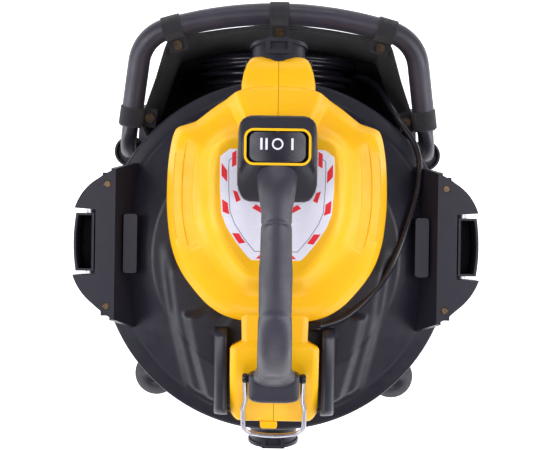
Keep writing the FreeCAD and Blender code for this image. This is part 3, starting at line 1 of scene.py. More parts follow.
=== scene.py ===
import bpy
import bmesh
import math
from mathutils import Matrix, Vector


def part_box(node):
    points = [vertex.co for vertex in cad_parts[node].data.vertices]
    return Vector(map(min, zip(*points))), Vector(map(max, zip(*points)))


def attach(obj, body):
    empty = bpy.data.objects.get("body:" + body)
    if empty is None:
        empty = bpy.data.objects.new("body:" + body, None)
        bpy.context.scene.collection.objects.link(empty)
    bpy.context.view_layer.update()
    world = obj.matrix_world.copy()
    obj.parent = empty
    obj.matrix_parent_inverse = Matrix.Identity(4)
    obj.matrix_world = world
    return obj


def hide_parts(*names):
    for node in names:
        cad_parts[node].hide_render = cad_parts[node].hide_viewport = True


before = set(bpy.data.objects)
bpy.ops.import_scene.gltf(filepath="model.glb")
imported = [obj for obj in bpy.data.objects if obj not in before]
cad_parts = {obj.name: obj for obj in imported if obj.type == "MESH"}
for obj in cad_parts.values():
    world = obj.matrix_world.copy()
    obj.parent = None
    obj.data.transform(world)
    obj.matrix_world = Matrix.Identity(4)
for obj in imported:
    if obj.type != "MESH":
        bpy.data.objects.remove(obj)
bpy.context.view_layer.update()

# Shapes are given in millimetres round the drum's vertical axis, like the model's own values,
# and at() turns them into the row frame's metres. "Right" is +X, the front is -Y.
DRUM_LOW, DRUM_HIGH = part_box("drum")
AXIS_Y = (DRUM_LOW[1] + DRUM_HIGH[1]) / 2
MM = 0.001


def at(x, y, z):
    return Vector((x * MM, y * MM + AXIS_Y, z * MM))


def smoothstep(a, b, value):
    t = min(1.0, max(0.0, (value - a) / (b - a)))
    return t * t * (3 - 2 * t)


def interpolate(table, value):
    """Straight-line look-up in a list of (position, result) pairs."""
    if value <= table[0][0]:
        return table[0][1]
    for (a, fa), (b, fb) in zip(table, table[1:]):
        if value <= b:
            return fa + (fb - fa) * (value - a) / (b - a)
    return table[-1][1]


# ================================================================ camera and light
CAMERA_HEIGHT = 2600.0
CAMERA_BACK = 41.0        # the camera stands this far behind the drum's axis
CAMERA_SIDE = -1.8
CAMERA_ROLL = 0.0150
FOCAL_SHARE = 2.536       # focal length over the picture's width
SENSOR = 36.0


def make_camera():
    data = bpy.data.cameras.new("camera")
    data.sensor_width = SENSOR
    data.lens = SENSOR * FOCAL_SHARE
    data.clip_end = 50.0
    camera = bpy.data.objects.new("camera", data)
    bpy.context.collection.objects.link(camera)
    camera.location = at(CAMERA_SIDE, CAMERA_BACK, CAMERA_HEIGHT)
    camera.rotation_euler = (0.0, 0.0, CAMERA_ROLL)
    bpy.context.scene.camera = camera


def area_light(name, place, aim, size, watts, colour=(1.0, 1.0, 1.0)):
    data = bpy.data.lights.new(name, "AREA")
    data.shape = "RECTANGLE"
    data.size, data.size_y = size
    data.energy = watts
    data.color = colour
    light = bpy.data.objects.new(name, data)
    bpy.context.collection.objects.link(light)
    light.location = place
    light.rotation_mode = "QUATERNION"
    light.rotation_quaternion = (Vector(aim) - Vector(place)).to_track_quat("-Z", "Y")


def make_studio():
    area_light("left_softbox", (-2.5, -0.4, 1.5), (0.0, 0.0, 0.7), (0.8, 2.4), 38, (0.94, 0.95, 1.0))
    area_light("right_softbox", (2.5, -0.4, 1.5), (0.0, 0.0, 0.7), (0.8, 2.4), 36, (0.94, 0.95, 1.0))
    area_light("left_overhead", (-1.7, 0.2, 3.0), (0.0, 0.0, 0.7), (0.9, 2.4), 40, (0.97, 0.97, 1.0))
    area_light("right_overhead", (1.7, 0.2, 3.0), (0.0, 0.0, 0.7), (0.9, 2.4), 38, (0.97, 0.97, 1.0))
    area_light("front_softbox", (0.0, -2.9, 1.9), (0.0, 0.0, 0.7), (2.2, 0.9), 30)
    area_light("back_softbox", (0.0, 2.9, 2.1), (0.0, 0.0, 0.7), (2.2, 0.9), 24)
    world = bpy.data.worlds.new("studio")
    world.use_nodes = True
    background = world.node_tree.nodes["Background"]
    background.inputs["Color"].default_value = (0.9, 0.91, 1.0, 1.0)
    background.inputs["Strength"].default_value = 0.2
    bpy.context.scene.world = world
    bpy.context.scene.view_settings.view_transform = "Standard"
    bpy.ops.mesh.primitive_plane_add(size=60.0, location=(0.0, 0.0, -0.001))
    floor = bpy.context.object
    floor.name = "studio_floor"
    paint = new_material("studio_floor")
    shader = paint.shader
    shader.inputs["Base Color"].default_value = (0.9, 0.9, 0.91, 1.0)
    shader.inputs["Roughness"].default_value = 0.9
    shader.inputs["Emission Color"].default_value = (1.0, 1.0, 1.0, 1.0)
    shader.inputs["Emission Strength"].default_value = 0.8
    floor.data.materials.append(paint.material)


# ================================================================ materials
class new_material:
    """A node material under construction: its shader, and short ways to add nodes."""

    def __init__(self, name):
        self.material = bpy.data.materials.new(name)
        self.material.use_nodes = True
        self.tree = self.material.node_tree
        self.shader = self.tree.nodes["Principled BSDF"]
        self.where = self.tree.nodes.new("ShaderNodeTexCoord").outputs["Object"]

    def node(self, kind, **values):
        made = self.tree.nodes.new("ShaderNode" + kind)
        for key, value in values.items():
            setattr(made, key, value)
        return made

    def link(self, source, target):
        self.tree.links.new(source, target)

    def stretched(self, scale):
        mapping = self.node("Mapping")
        mapping.inputs["Scale"].default_value = scale
        self.link(self.where, mapping.inputs["Vector"])
        return mapping.outputs["Vector"]

    def noise(self, scale, detail=4.0, roughness=0.55, stretch=None):
        made = self.node("TexNoise")
        made.inputs["Scale"].default_value = scale
        made.inputs["Detail"].default_value = detail
        made.inputs["Roughness"].default_value = roughness
        self.link(self.stretched(stretch) if stretch else self.where, made.inputs["Vector"])
        return made.outputs["Fac"]

    def ramp(self, source, stops):
        made = self.node("ValToRGB")
        ramp = made.color_ramp
        ramp.elements[0].position, ramp.elements[0].color = stops[0][0], (*stops[0][1], 1.0)
        ramp.elements[1].position, ramp.elements[1].color = stops[-1][0], (*stops[-1][1], 1.0)
        for position, colour in stops[1:-1]:
            ramp.elements.new(position).color = (*colour, 1.0)
        self.link(source, made.inputs["Fac"])
        return made.outputs["Color"]

    def spread(self, source, low, high, target):
        """Maps a 0 to 1 value on to a range and feeds it to a socket."""
        made = self.node("MapRange")
        made.inputs["From Min"].default_value = 0.3
        made.inputs["From Max"].default_value = 0.7
        made.inputs["To Min"].default_value = low
        made.inputs["To Max"].default_value = high
        self.link(source, made.inputs["Value"])
        self.link(made.outputs["Result"], target)

    def bump(self, height, strength, distance, below=None):
        made = self.node("Bump")
        made.inputs["Strength"].default_value = strength
        made.inputs["Distance"].default_value = distance
        self.link(height, made.inputs["Height"])
        if below is not None:
            self.link(below, made.inputs["Normal"])
        return made.outputs["Normal"]

    def painted_edge_highlight(self, source, highlight_colour, amount):
        """Paints a highlight on convex edges, lightening them a little."""
        geometry = self.node("NewGeometry")
        edge = self.node("MapRange")
        edge.inputs["From Min"].default_value = 0.52
        edge.inputs["From Max"].default_value = 0.6
        edge.inputs["To Max"].default_value = amount
        self.link(geometry.outputs["Pointiness"], edge.inputs["Value"])
        mix = self.node("Mix", data_type="RGBA")
        self.link(edge.outputs["Result"], mix.inputs["Factor"])
        self.link(source, mix.inputs["A"])
        mix.inputs["B"].default_value = (*highlight_colour, 1.0)
        return mix.outputs["Result"]


def shade(colour, factor):
    return tuple(min(1.0, c * factor) for c in colour)


def moulded(name, colour, roughness=0.42, grain=900.0, bump=0.12, edge_highlight=0.25, coat=0.0):
    """Injection-moulded plastic: fine spark texture, faint flow marks, and a painted highlight on convex
    edges.
    """
    m = new_material(name)
    flow = m.noise(7.0, 3.0, stretch=(1.0, 1.0, 0.4))
    tint = m.ramp(flow, [(0.3, shade(colour, 0.9)), (0.7, shade(colour, 1.1))])
    # convex edges get a painted highlight, a lighter copy of the plastic's colour
    m.link(m.painted_edge_highlight(tint, shade(colour, 1.6), edge_highlight), m.shader.inputs["Base Color"])
    m.spread(m.noise(60.0, 5.0), roughness - 0.06, roughness + 0.06, m.shader.inputs["Roughness"])
    fine = m.bump(m.noise(grain, 2.0), bump, 0.0004)
    m.link(m.bump(m.noise(9.0, 2.0), 0.05, 0.004, below=fine), m.shader.inputs["Normal"])
    m.shader.inputs["Specular IOR Level"].default_value = 0.36
    m.shader.inputs["Coat Weight"].default_value = coat
    m.shader.inputs["Coat Roughness"].default_value = 0.25
    return m.material


def rubbery(name, colour, roughness=0.6, grain=500.0):
    """Soft rubber or PVC: matt, faintly mottled, with a dusty bloom in places."""
    m = new_material(name)
    tint = m.ramp(m.noise(14.0, 6.0, 0.65), [(0.35, shade(colour, 0.8)), (0.65, shade(colour, 1.25))])
    m.link(tint, m.shader.inputs["Base Color"])
    m.spread(m.noise(35.0, 4.0), roughness - 0.1, roughness + 0.1, m.shader.inputs["Roughness"])
    m.link(m.bump(m.noise(grain, 3.0), 0.25, 0.0004), m.shader.inputs["Normal"])
    m.shader.inputs["Sheen Weight"].default_value = 0.06
    return m.material


def brushed(name, colour, stretch, roughness=0.3, strength=0.12):
    """Metal with fine lines drawn along one direction."""
    m = new_material(name)
    lines = m.noise(1.0, 6.0, 0.7, stretch=stretch)
    tint = m.ramp(lines, [(0.3, shade(colour, 0.82)), (0.7, shade(colour, 1.12))])
    m.link(tint, m.shader.inputs["Base Color"])
    m.spread(lines, roughness - 0.07, roughness + 0.1, m.shader.inputs["Roughness"])
    m.link(m.bump(lines, strength, 0.0003), m.shader.inputs["Normal"])
    m.shader.inputs["Metallic"].default_value = 1.0
    return m.material


def polished(name, colour, roughness=0.1):
    """Plated wire or fittings, with faint handling marks."""
    m = new_material(name)
    marks = m.noise(55.0, 6.0, 0.6, stretch=(1.0, 3.0, 1.0))
    m.link(m.ramp(marks, [(0.3, shade(colour, 0.9)), (0.7, colour)]), m.shader.inputs["Base Color"])
    m.spread(marks, roughness - 0.04, roughness + 0.12, m.shader.inputs["Roughness"])
    m.link(m.bump(m.noise(300.0, 2.0), 0.03, 0.0003), m.shader.inputs["Normal"])
    m.shader.inputs["Metallic"].default_value = 1.0
    return m.material


def powder_coat(name, colour, roughness=0.35):
    """Painted steel with a fine orange peel."""
    m = new_material(name)
    tint = m.ramp(m.noise(11.0, 3.0), [(0.3, shade(colour, 0.88)), (0.7, shade(colour, 1.12))])
    # convex edges get a painted grey highlight mixed into the paint's colour
    m.link(m.painted_edge_highlight(tint, (0.12, 0.12, 0.13), 0.3), m.shader.inputs["Base Color"])
    m.spread(m.noise(70.0, 3.0), roughness - 0.05, roughness + 0.08, m.shader.inputs["Roughness"])
    m.link(m.bump(m.noise(260.0, 2.0, 0.4), 0.16, 0.0006), m.shader.inputs["Normal"])
    return m.material


def woven(name, colour, pitch, roughness=0.75, sheen=0.15, bump=0.6):
    """Plain-weave cloth: crossed threads, uneven dye and soft folds in the light."""
    m = new_material(name)
    heights = []
    for direction in ("X", "Z"):
        wave = m.node("TexWave", wave_type="BANDS", bands_direction=direction)
        wave.inputs["Scale"].default_value = 1.0 / pitch
        wave.inputs["Distortion"].default_value = 0.6
        wave.inputs["Detail"].default_value = 1.0
        m.link(m.where, wave.inputs["Vector"])
        heights.append(wave.outputs["Fac"])
    weave = m.node("Math", operation="MULTIPLY")
    m.link(heights[0], weave.inputs[0])
    m.link(heights[1], weave.inputs[1])
    tint = m.ramp(m.noise(18.0, 5.0, 0.6), [(0.3, shade(colour, 0.75)), (0.7, shade(colour, 1.3))])
    m.link(tint, m.shader.inputs["Base Color"])
    m.spread(weave.outputs["Value"], roughness + 0.1, roughness - 0.1, m.shader.inputs["Roughness"])
    cloth = m.bump(weave.outputs["Value"], bump, 0.0005)
    m.link(m.bump(m.noise(30.0, 4.0), 0.2, 0.003, below=cloth), m.shader.inputs["Normal"])
    m.shader.inputs["Sheen Weight"].default_value = sheen
    m.shader.inputs["Sheen Roughness"].default_value = 0.4
    return m.material


def porous(name, colour, scale=260.0):
    """Open foam: round cells of mixed size."""
    m = new_material(name)
    cells = m.node("TexVoronoi")
    cells.inputs["Scale"].default_value = scale
    m.link(m.where, cells.inputs["Vector"])
    tint = m.ramp(cells.outputs["Distance"], [(0.1, shade(colour, 0.35)), (0.5, colour)])
    m.link(tint, m.shader.inputs["Base Color"])
    m.shader.inputs["Roughness"].default_value = 0.95
    m.link(m.bump(cells.outputs["Distance"], 0.8, 0.002), m.shader.inputs["Normal"])
    return m.material


BLACK = (0.014, 0.013, 0.022)
YELLOW = (0.93, 0.47, 0.001)
MATERIALS = {
    "black": moulded("moulded_black", BLACK, 0.4),
    "black_soft": moulded("moulded_black_soft", (0.027, 0.026, 0.040), 0.48, grain=700.0, bump=0.2),
    "black_gloss": moulded("moulded_black_gloss", (0.018, 0.017, 0.026), 0.26, grain=400.0, bump=0.04),
    "yellow": moulded("moulded_yellow", YELLOW, 0.4, grain=800.0, bump=0.05, edge_highlight=0.1),
    "grey": moulded("moulded_grey", (0.17, 0.17, 0.18), 0.5),
    "grip": rubbery("grip_rubber", (0.030, 0.028, 0.042), 0.46),
    "rubber": rubbery("seal_rubber", (0.018, 0.018, 0.02), 0.65),
    "tyre": rubbery("tyre_rubber", (0.024, 0.024, 0.025), 0.75, 300.0),
    "cord": moulded("cord_sheath", (0.014, 0.012, 0.018), 0.24, 700.0, 0.05),
    "sleeve": rubbery("sleeve_vinyl", (0.026, 0.022, 0.036), 0.45, 420.0),
    "stainless": brushed("drum_steel", (0.36, 0.36, 0.37), (3.0, 3.0, 420.0), 0.34),
    "steel": brushed("zinc_steel", (0.33, 0.34, 0.35), (240.0, 30.0, 30.0), 0.38),
    "chrome": polished("bail_chrome", (0.50, 0.49, 0.56), 0.28),
    "motor": brushed("motor_alloy", (0.55, 0.55, 0.56), (40.0, 40.0, 300.0), 0.4),
    "iron": brushed("rotor_iron", (0.28, 0.26, 0.24), (40.0, 40.0, 500.0), 0.45),
    "tube": powder_coat("handle_paint", (0.020, 0.017, 0.027), 0.33),
    "snap": polished("snap_bronze", (0.16, 0.11, 0.07), 0.24),
    # The cloth is a darker black than the other parts: partly its own colour, partly painted shade for the
    # inside of the pouch.
    "bag": woven("bag_cloth", (0.0075, 0.006, 0.010), 0.0021),
    "webbing": woven("strap_webbing", (0.013, 0.012, 0.017), 0.0013, 0.7, 0.2, 0.9),
    "paper": rubbery("filter_paper", (0.72, 0.7, 0.64), 0.85, 600.0),
    "foam": porous("exhaust_foam", (0.12, 0.12, 0.13)),
    "label": moulded("label_white", (0.80, 0.78, 0.88), 0.3, grain=300.0, bump=0.02, edge_highlight=0.0),
    "label_red": moulded("label_red", (0.80, 0.025, 0.035), 0.3, grain=300.0, bump=0.02, edge_highlight=0.0),
    "label_line": moulded("label_grey_line", (0.25, 0.24, 0.29), 0.35, grain=300.0, bump=0.02, edge_highlight=0.0),
    "mark": moulded("switch_mark_white", (0.78, 0.76, 0.86), 0.4, grain=300.0, bump=0.02, edge_highlight=0.0),
}

NODE_MATERIALS = {
    "black": ["trolley_base", "caster_caps", "axle_caps", "handle_collars", "inlet_port", "inlet_deflector",
              "rear_hub_left", "rear_hub_right", "side_latch_left", "side_latch_right", "head_base",
              "side_wings",
              "latch_keepers", "blower_port", "filter_end_plate"],
    "black_soft": ["handle_shell_left", "handle_shell_right"],
    "black_gloss": ["rocker_switch"],
    "yellow": ["cover_left", "cover_right", "switch_bezel"],
    "grey": ["switch_block", "motor_plate", "suction_manifold", "float_cage", "float_ball"],
    "rubber": ["drum_gaskets", "motor_seals", "caster_wheel_left", "caster_wheel_right"],
    "cord": ["cord_gland", "power_cord", "cord_coil", "cord_tail", "power_plug"],
    "tyre": ["rear_tyre_left", "rear_tyre_right"],
    "sleeve": ["grip_sleeve"],
    "stainless": ["drum"],
    "steel": ["rear_axle", "post_bolts", "latch_brackets", "latch_pins", "caster_fork_left",
              "caster_fork_right",
              "caster_axle_left", "caster_axle_right"],
    "chrome": ["bail_wire"],
    "motor": ["motor_housings"],
    "iron": ["motor_rotor_left", "motor_rotor_right"],
    "tube": ["handle_posts", "push_handle_tube"],
    "snap": ["snap_buttons", "wing_screws"],
    "bag": ["cord_bag"],
    "webbing": ["strap_loops"],
    "paper": ["filter_cartridge"],
    "foam": ["exhaust_foam"],
    "label": ["label_panel"],
}


def paint_nodes():
    for key, names in NODE_MATERIALS.items():
        for name in names:
            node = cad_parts[name]
            node.data.materials.clear()
            node.data.materials.append(MATERIALS[key])


# ================================================================ mesh helpers
# The faces of a brick whose corners are four in a ring and then the four across from them.
BRICK_FACES = [(0, 1, 2, 3), (4, 5, 6, 7)] + [(i, (i + 1) % 4, (i + 1) % 4 + 4, i + 4) for i in range(4)]


def finish_piece(name, mesh, material, body, smooth=True, sharp=35.0):
    """Puts a mesh in the scene with a material, shaded smooth but for its sharp edges."""
    mesh.materials.append(MATERIALS[material])
    if smooth:
        mesh.polygons.foreach_set("use_smooth", [True] * len(mesh.polygons))
        mesh.set_sharp_from_angle(angle=math.radians(sharp))
    piece = bpy.data.objects.new(name, mesh)
    bpy.context.collection.objects.link(piece)
    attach(piece, body)
    return piece


def mesh_from(name, points, faces):
    """A clean mesh from millimetre points."""
    mesh = bpy.data.meshes.new(name)
    mesh.from_pydata([at(*p) for p in points], [], faces)
    tidy = bmesh.new()
    tidy.from_mesh(mesh)
    bmesh.ops.remove_doubles(tidy, verts=tidy.verts, dist=1e-6)
    bmesh.ops.dissolve_degenerate(tidy, edges=tidy.edges, dist=1e-7)
    bmesh.ops.recalc_face_normals(tidy, faces=tidy.faces)
    tidy.to_mesh(mesh)
    tidy.free()
    return mesh


def add_piece(name, shape, material, body, **shading):
    """A piece from a shape's points and faces, under one name for the mesh and the object."""
    return finish_piece(name, mesh_from(name, *shape), material, body, **shading)


def skin(rings, around=True, along=False):
    """Quads between rings of equally many points. around closes each ring, along the stack."""
    count = len(rings[0])
    points = [p for ring in rings for p in ring]
    faces = []
    rows = len(rings) if along else len(rings) - 1
    columns = count if around else count - 1
    for i in range(rows):
        for j in range(columns):
            a, b = i * count, ((i + 1) % len(rings)) * count
            k = (j + 1) % count
            faces.append((a + j, a + k, b + k, b + j))
    return points, faces


def capped(points, faces, count):
    """Adds a face on the first and on the last ring of a skin."""
    last = len(points) - count
    return points, faces + [tuple(range(count)), tuple(range(last, last + count))]


def bevel(piece, width, segments=3, angle=30.0):
    modifier = piece.modifiers.new("soft_edges", "BEVEL")
    modifier.width = width * MM
    modifier.segments = segments
    modifier.limit_method = "ANGLE"
    modifier.angle_limit = math.radians(angle)
    modifier.harden_normals = False
    modifier.miter_outer = "MITER_ARC"


def prism_piece(name, outline, z0, z1, material, body, edge=0.0):
    """An upright prism over a closed outline of (x, y) points."""
    count = len(outline)
    points, faces = skin([[(x, y, z) for x, y in outline] for z in (z0, z1)])
    points, faces = capped(points, faces, count)
    piece = add_piece(name, (points, faces), material, body)
    if edge:
        bevel(piece, edge)
    return piece


def mirrored(points):
    return [(-x, *rest) for x, *rest in points]


# ================================================================ yellow cover
COVER_CENTRE = 64.0
BODY_EDGE = [(0, 219), (30, 218), (48.8, 213), (65.6, 205), (83.8, 192.8), (100.5, 179), (108, 173.5),
             (126.5, 168.2),
             (133.2, 164.2), (137.5, 151), (141.3, 127), (143, 102), (143.4, 71), (142, 47), (138.4, 19),
             (131.4, -5.5),
             (120.3, -27), (104.6, -47), (89, -64), (70.3, -76.5), (51.8, -82.8), (30, -85.5), (0, -86)]
CROWN_EDGE = [(0, 150), (48, 150), (62, 147), (73, 138), (78, 122), (79, 85), (77, 55), (68, 28), (54, 4),
              (38, -16),
              (28, -23), (0, -26)]
# Heights from the foot of the wall to the crown's edge, against the share of the way inwards.
SHARES = [0.0, 0.0, 0.02, 0.06, 0.10, 0.135, 0.155, 0.30, 0.318, 0.338, 0.518, 0.54, 0.60, 0.68, 0.76, 0.80,
          0.86, 0.92,
          0.96, 1.0]
SIDE_RISE = [733, 784, 788, 793.5, 799, 803, 804, 807, 807.4, 807.8, 811, 811.6, 813, 817, 825, 830, 838,
             843.2, 845.3,
             846]
END_RISE = [733, 783, 787, 790.5, 794, 797, 799, 805.5, 806, 806.5, 811, 811.5, 813.5, 818, 825, 829.5, 837,
            842.5, 845,
            846]
REAR_RISE = [733, 818, 821, 823, 824, 825, 825.5, 829, 829.5, 830, 833, 833.5, 835, 837, 840, 841, 843,
             844.5, 845.5, 846]
PANELS = {6: (21, 132), 7: (21, 132), 9: (12, 147), 10: (12, 147)}     # ring: y range of its shallow panel
PANEL_DIP = 1.5
SEAM = 0.22
LID_Z = 846.0


def rounded_half(half, rounds=2):
    """Cuts the corners of an open half outline, which ends square on the centre line."""
    for _ in range(rounds):
        cut = [half[0]]
        for (ax, ay), (bx, by) in zip(half, half[1:]):
            cut += [(ax * 0.78 + bx * 0.22, ay * 0.78 + by * 0.22),
                    (ax * 0.22 + bx * 0.78, ay * 0.22 + by * 0.78)]
        half = cut + [half[-1]]
    return half


def ray_reach(half, angle):
    """How far a half outline lies from the cover's centre, at an angle in the right half."""
    across, up = math.cos(angle), math.sin(angle)
    best = 0.0
    for (ax, ay), (bx, by) in zip(half, half[1:]):
        ax, ay, bx, by = ax, ay - COVER_CENTRE, bx, by - COVER_CENTRE
        fall = (bx - ax) * up - (by - ay) * across
        if abs(fall) < 1e-9:
            continue
        share = (ay * across - ax * up) / fall
        if -1e-6 <= share <= 1 + 1e-6:
            reach = (ax + (bx - ax) * share) * across + (ay + (by - ay) * share) * up
            best = max(best, reach)
    return best


def corner_angles(*outlines):
    """Even steps over the right half, with every corner of the outlines hit exactly."""
    angles = [math.pi * (0.5 - i / 220) for i in range(221)]
    for half in outlines:
        angles += [math.atan2(y - COVER_CENTRE, x) for x, y in half]
    angles = sorted(set(round(a, 6) for a in angles), reverse=True)
    return [a for a in angles if abs(a) < math.pi / 2 + 1e-4]


def side_weight(x, y):
    """1 where the stepped sides run, 0 at the plain front and rear."""
    return smoothstep(-40, 25, y) * (1 - smoothstep(135, 175, y)) * smoothstep(50, 95, x)


def rear_weight(x, y):
    """1 on the raised shelf that runs back to the blower port."""
    return smoothstep(150, 190, y) * (1 - smoothstep(52, 70, x))


def cover_body():
    body, crown = rounded_half(BODY_EDGE), rounded_half(CROWN_EDGE)
    angles = corner_angles(BODY_EDGE)
    rings = [[] for _ in range(len(SHARES) + 3)]
    for angle in angles:
        outer, inner = ray_reach(body, angle), ray_reach(crown, angle)
        place = (outer * math.cos(angle), COVER_CENTRE + outer * math.sin(angle))
        weight, rear = side_weight(*place), rear_weight(*place)
        for i, share in enumerate(SHARES):
            reach = outer + (inner - outer) * share
            x, y = reach * math.cos(angle), COVER_CENTRE + reach * math.sin(angle)
            z = END_RISE[i] + (SIDE_RISE[i] - END_RISE[i]) * weight
            z += (REAR_RISE[i] - z) * rear
            if i in PANELS:
                low, high = PANELS[i]
                z -= PANEL_DIP * smoothstep(low - 1, low + 1.5,
                                            y) * (1 - smoothstep(high - 1.5, high + 1, y)) * weight
            rings[i].append((x, y, z))
        for ring, shrink, drop in zip(rings[len(SHARES):], (0.955, 0.93, 0.05), (0.0, 0.5, 0.5)):
            ring.append((inner * shrink * math.cos(angle), COVER_CENTRE + inner * shrink * math.sin(angle),
                         LID_Z - drop))
    return seamed(rings)


def seamed(rings):
    """Pulls the ends of open rings to the joint line and turns a small lip down into it."""
    closed = []
    for ring in rings:
        first, last = ring[0], ring[-1]
        start = [(SEAM, first[1], first[2] - 4.0), (SEAM, first[1], first[2] - 0.35),
                 (SEAM + 0.3, first[1], first[2])]
        end = [(SEAM + 0.3, last[1], last[2]), (SEAM, last[1], last[2] - 0.35),
               (SEAM, last[1], last[2] - 4.0)]
        closed.append(start + [(max(x, SEAM + 0.3), y, z) for x, y, z in ring[1:-1]] + end)
    return skin(closed, around=False)


def dome_height(x, y):
    """The upper surface of the black base under the cover."""
    return interpolate([(165, 735), (218, 696), (222, 690), (240, 690)], math.hypot(x, y))


# Stations down the cover's front run: y, half width of the flat top, half width, top, edge.
SPINE = [(-55, 37, 43.5, 800, 795), (-84, 37, 43.5, 797, 792), (-108, 36.5, 42.8, 795, 790),
         (-110.5, 37, 43.5, 794.6, 789.5), (-117, 48, 56, 793.4, 787), (-120, 50.5, 58, 793, 786),
         (-150, 50, 58, 787, 780),
         (-168, 50, 58, 777, 770), (-186, 50, 58, 764, 757), (-200, 50, 58, 753, 746),
         (-210, 49, 57, 747, 740),
         (-216, 45, 53, 744.5, 738), (-219.5, 42, 49, 743, 737), (-220.5, 41, 47.5, 739, 733)]


def spine_run():
    rings = []
    for y, flat, wide, top, edge in SPINE:
        foot = min(dome_height(wide, y), edge - 4) - 1.5
        rings.append([(SEAM, y, top - 4), (SEAM, y, top - 0.35), (SEAM + 0.3, y, top), (flat - 1.5, y, top),
                      (flat, y, top - 0.5), (wide - 0.9, y, edge + 0.3), (wide, y, edge - 1.2),
                      (wide, y, foot)])
    last = rings[-1]
    rings.append([(x, y, min(z, 700)) for x, y, z in last])
    return skin(rings, around=False)


# Rear hump and the boss over the blower port: y, half width at the top and foot, top.
HUMP = [(190, 40, 47, 816), (205, 44, 47.5, 820), (222, 44.5, 47.5, 820), (236, 42, 45, 818),
        (247, 38, 42, 814),
        (254, 33.5, 38, 809), (257.5, 29, 34, 803), (258.5, 27, 32, 796), (258.5, 27, 32, 782)]


def rear_hump():
    rings = []
    for y, flat, wide, top in HUMP:
        low = 780
        rings.append([(SEAM, y, top - 4), (SEAM, y, top - 0.35), (SEAM + 0.3, y, top), (flat * 0.6, y, top),
                      (flat - 3, y, top - 1.2), (flat, y, top - 3.0), (wide - 0.8, y, max(low, top - 9)),
                      (wide, y, max(low, top - 14)), (wide, y, low)])
    return skin(rings, around=False)


def merged(parts):
    points, faces = [], []
    for part_points, part_faces in parts:
        start = len(points)
        points += part_points
        faces += [tuple(i + start for i in face) for face in part_faces]
    return points, faces


def make_cover():
    points, faces = merged([cover_body(), spine_run(), rear_hump()])
    for side, sign in (("right", 1), ("left", -1)):
        half = [(sign * x, y, z) for x, y, z in points]
        piece = add_piece("cover_half_" + side, (half, faces), "yellow", "head",
                             sharp=28.0)
        bevel(piece, 0.9, 2, 25.0)
        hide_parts("cover_" + side)


# ================================================================ label
LABEL_EDGE = [(0, 136), (60, 136), (71.5, 127), (72, 110), (71.5, 85), (69.5, 55), (62.5, 37), (50, 18),
              (36, 1),
              (31, -3.5), (0, -3.5)]


LABEL_INNER_LINE = [(50.5, 136), (50.5, 96), (48.5, 82), (42, 73), (24, 66), (0, 60)]
LABEL_INNER_DASHES = [[(57, 131), (51.5, 134), (51.5, 116), (57, 113)],
                      [(55.5, 84), (49.8, 82), (45.5, 71.5), (51, 69)],
                      [(31, 62), (26.5, 66.5), (14, 60), (18, 55)]]


def inset_half(half, amount):
    """The half outline moved towards the cover's centre line by mitred offsets."""
    full = half + mirrored(half[1:-1])[::-1]
    result = []
    for i in range(len(half)):
        (ax, ay), (bx, by), (cx, cy) = full[i - 1], full[i], full[(i + 1) % len(full)]
        before, after = Vector((bx - ax, by - ay)).normalized(), Vector((cx - bx, cy - by)).normalized()
        inward = Vector((before.y, -before.x)) + Vector((after.y, -after.x))
        reach = amount / max(0.4, inward.length / 2)
        inward.normalize()
        result.append((bx + inward.x * reach, by + inward.y * reach))
    return result


def strip(outer, inner, z0, z1):
    """A thin raised band between two open outlines of equally many points."""
    rings = [[(*p, z0) for p in outer], [(*p, z1) for p in outer], [(*p, z1) for p in inner],
             [(*p, z0) for p in inner]]
    return skin(rings, around=False)


def along_outline(half, distance):
    """The point at a distance along an open outline."""
    for (ax, ay), (bx, by) in zip(half, half[1:]):
        run = math.hypot(bx - ax, by - ay)
        if distance <= run:
            return (ax + (bx - ax) * distance / run, ay + (by - ay) * distance / run)
        distance -= run
    return half[-1]


def make_label():
    outline = LABEL_EDGE + mirrored(LABEL_EDGE[1:-1])[::-1]
    prism_piece("label_plate", outline, LID_Z - 0.6, LID_Z + 0.45, "label", "head", 0.2)
    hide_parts("label_panel")
    line = merged([strip([(s * x, y) for x, y in inset_half(LABEL_EDGE, 10.4)],
                         [(s * x, y) for x, y in inset_half(LABEL_EDGE, 11.4)], LID_Z + 0.3, LID_Z + 0.52)
                   for s in (1, -1)] +
                  [strip([(s * x, y) for x, y in LABEL_INNER_LINE],
                         [(s * (x - 0.9), y - 0.7) for x, y in LABEL_INNER_LINE],
                         LID_Z + 0.3, LID_Z + 0.52) for s in (1, -1)])
    add_piece("label_border_line", line, "label_line", "head", smooth=False)
    outer, inner = inset_half(LABEL_EDGE, 1.8), inset_half(LABEL_EDGE, 9.0)
    dashes = []
    total = sum(math.dist(a, b) for a, b in zip(outer, outer[1:]))
    start = 80.5
    while start + 14 < total - 8:
        for sign in (1, -1):
            inner_share = sum(math.dist(a, b) for a, b in zip(inner, inner[1:])) / total
            corners = [along_outline(outer, start), along_outline(outer, start + 8),
                       along_outline(outer, start + 16),
                       along_outline(inner, (start + 22) * inner_share),
                       along_outline(inner, (start + 14) * inner_share),
                       along_outline(inner, (start + 6) * inner_share)]
            points = [(sign * x, y, z) for z in (LID_Z + 0.3, LID_Z + 0.55) for x, y in corners]
            dashes.append((points, [(0, 1, 4, 5), (1, 2, 3, 4), (6, 7, 10, 11), (7, 8, 9, 10)] +
                           [(i, (i + 1) % 6, (i + 1) % 6 + 6, i + 6) for i in range(6)]))
        start += 45.5
    for sign in (1, -1):
        for quad in LABEL_INNER_DASHES:
            points = [(sign * x, y, z) for z in (LID_Z + 0.3, LID_Z + 0.55) for x, y in quad]
            dashes.append((points, BRICK_FACES))
    add_piece("label_red_dashes", merged(dashes), "label_red", "head",
                 smooth=False)


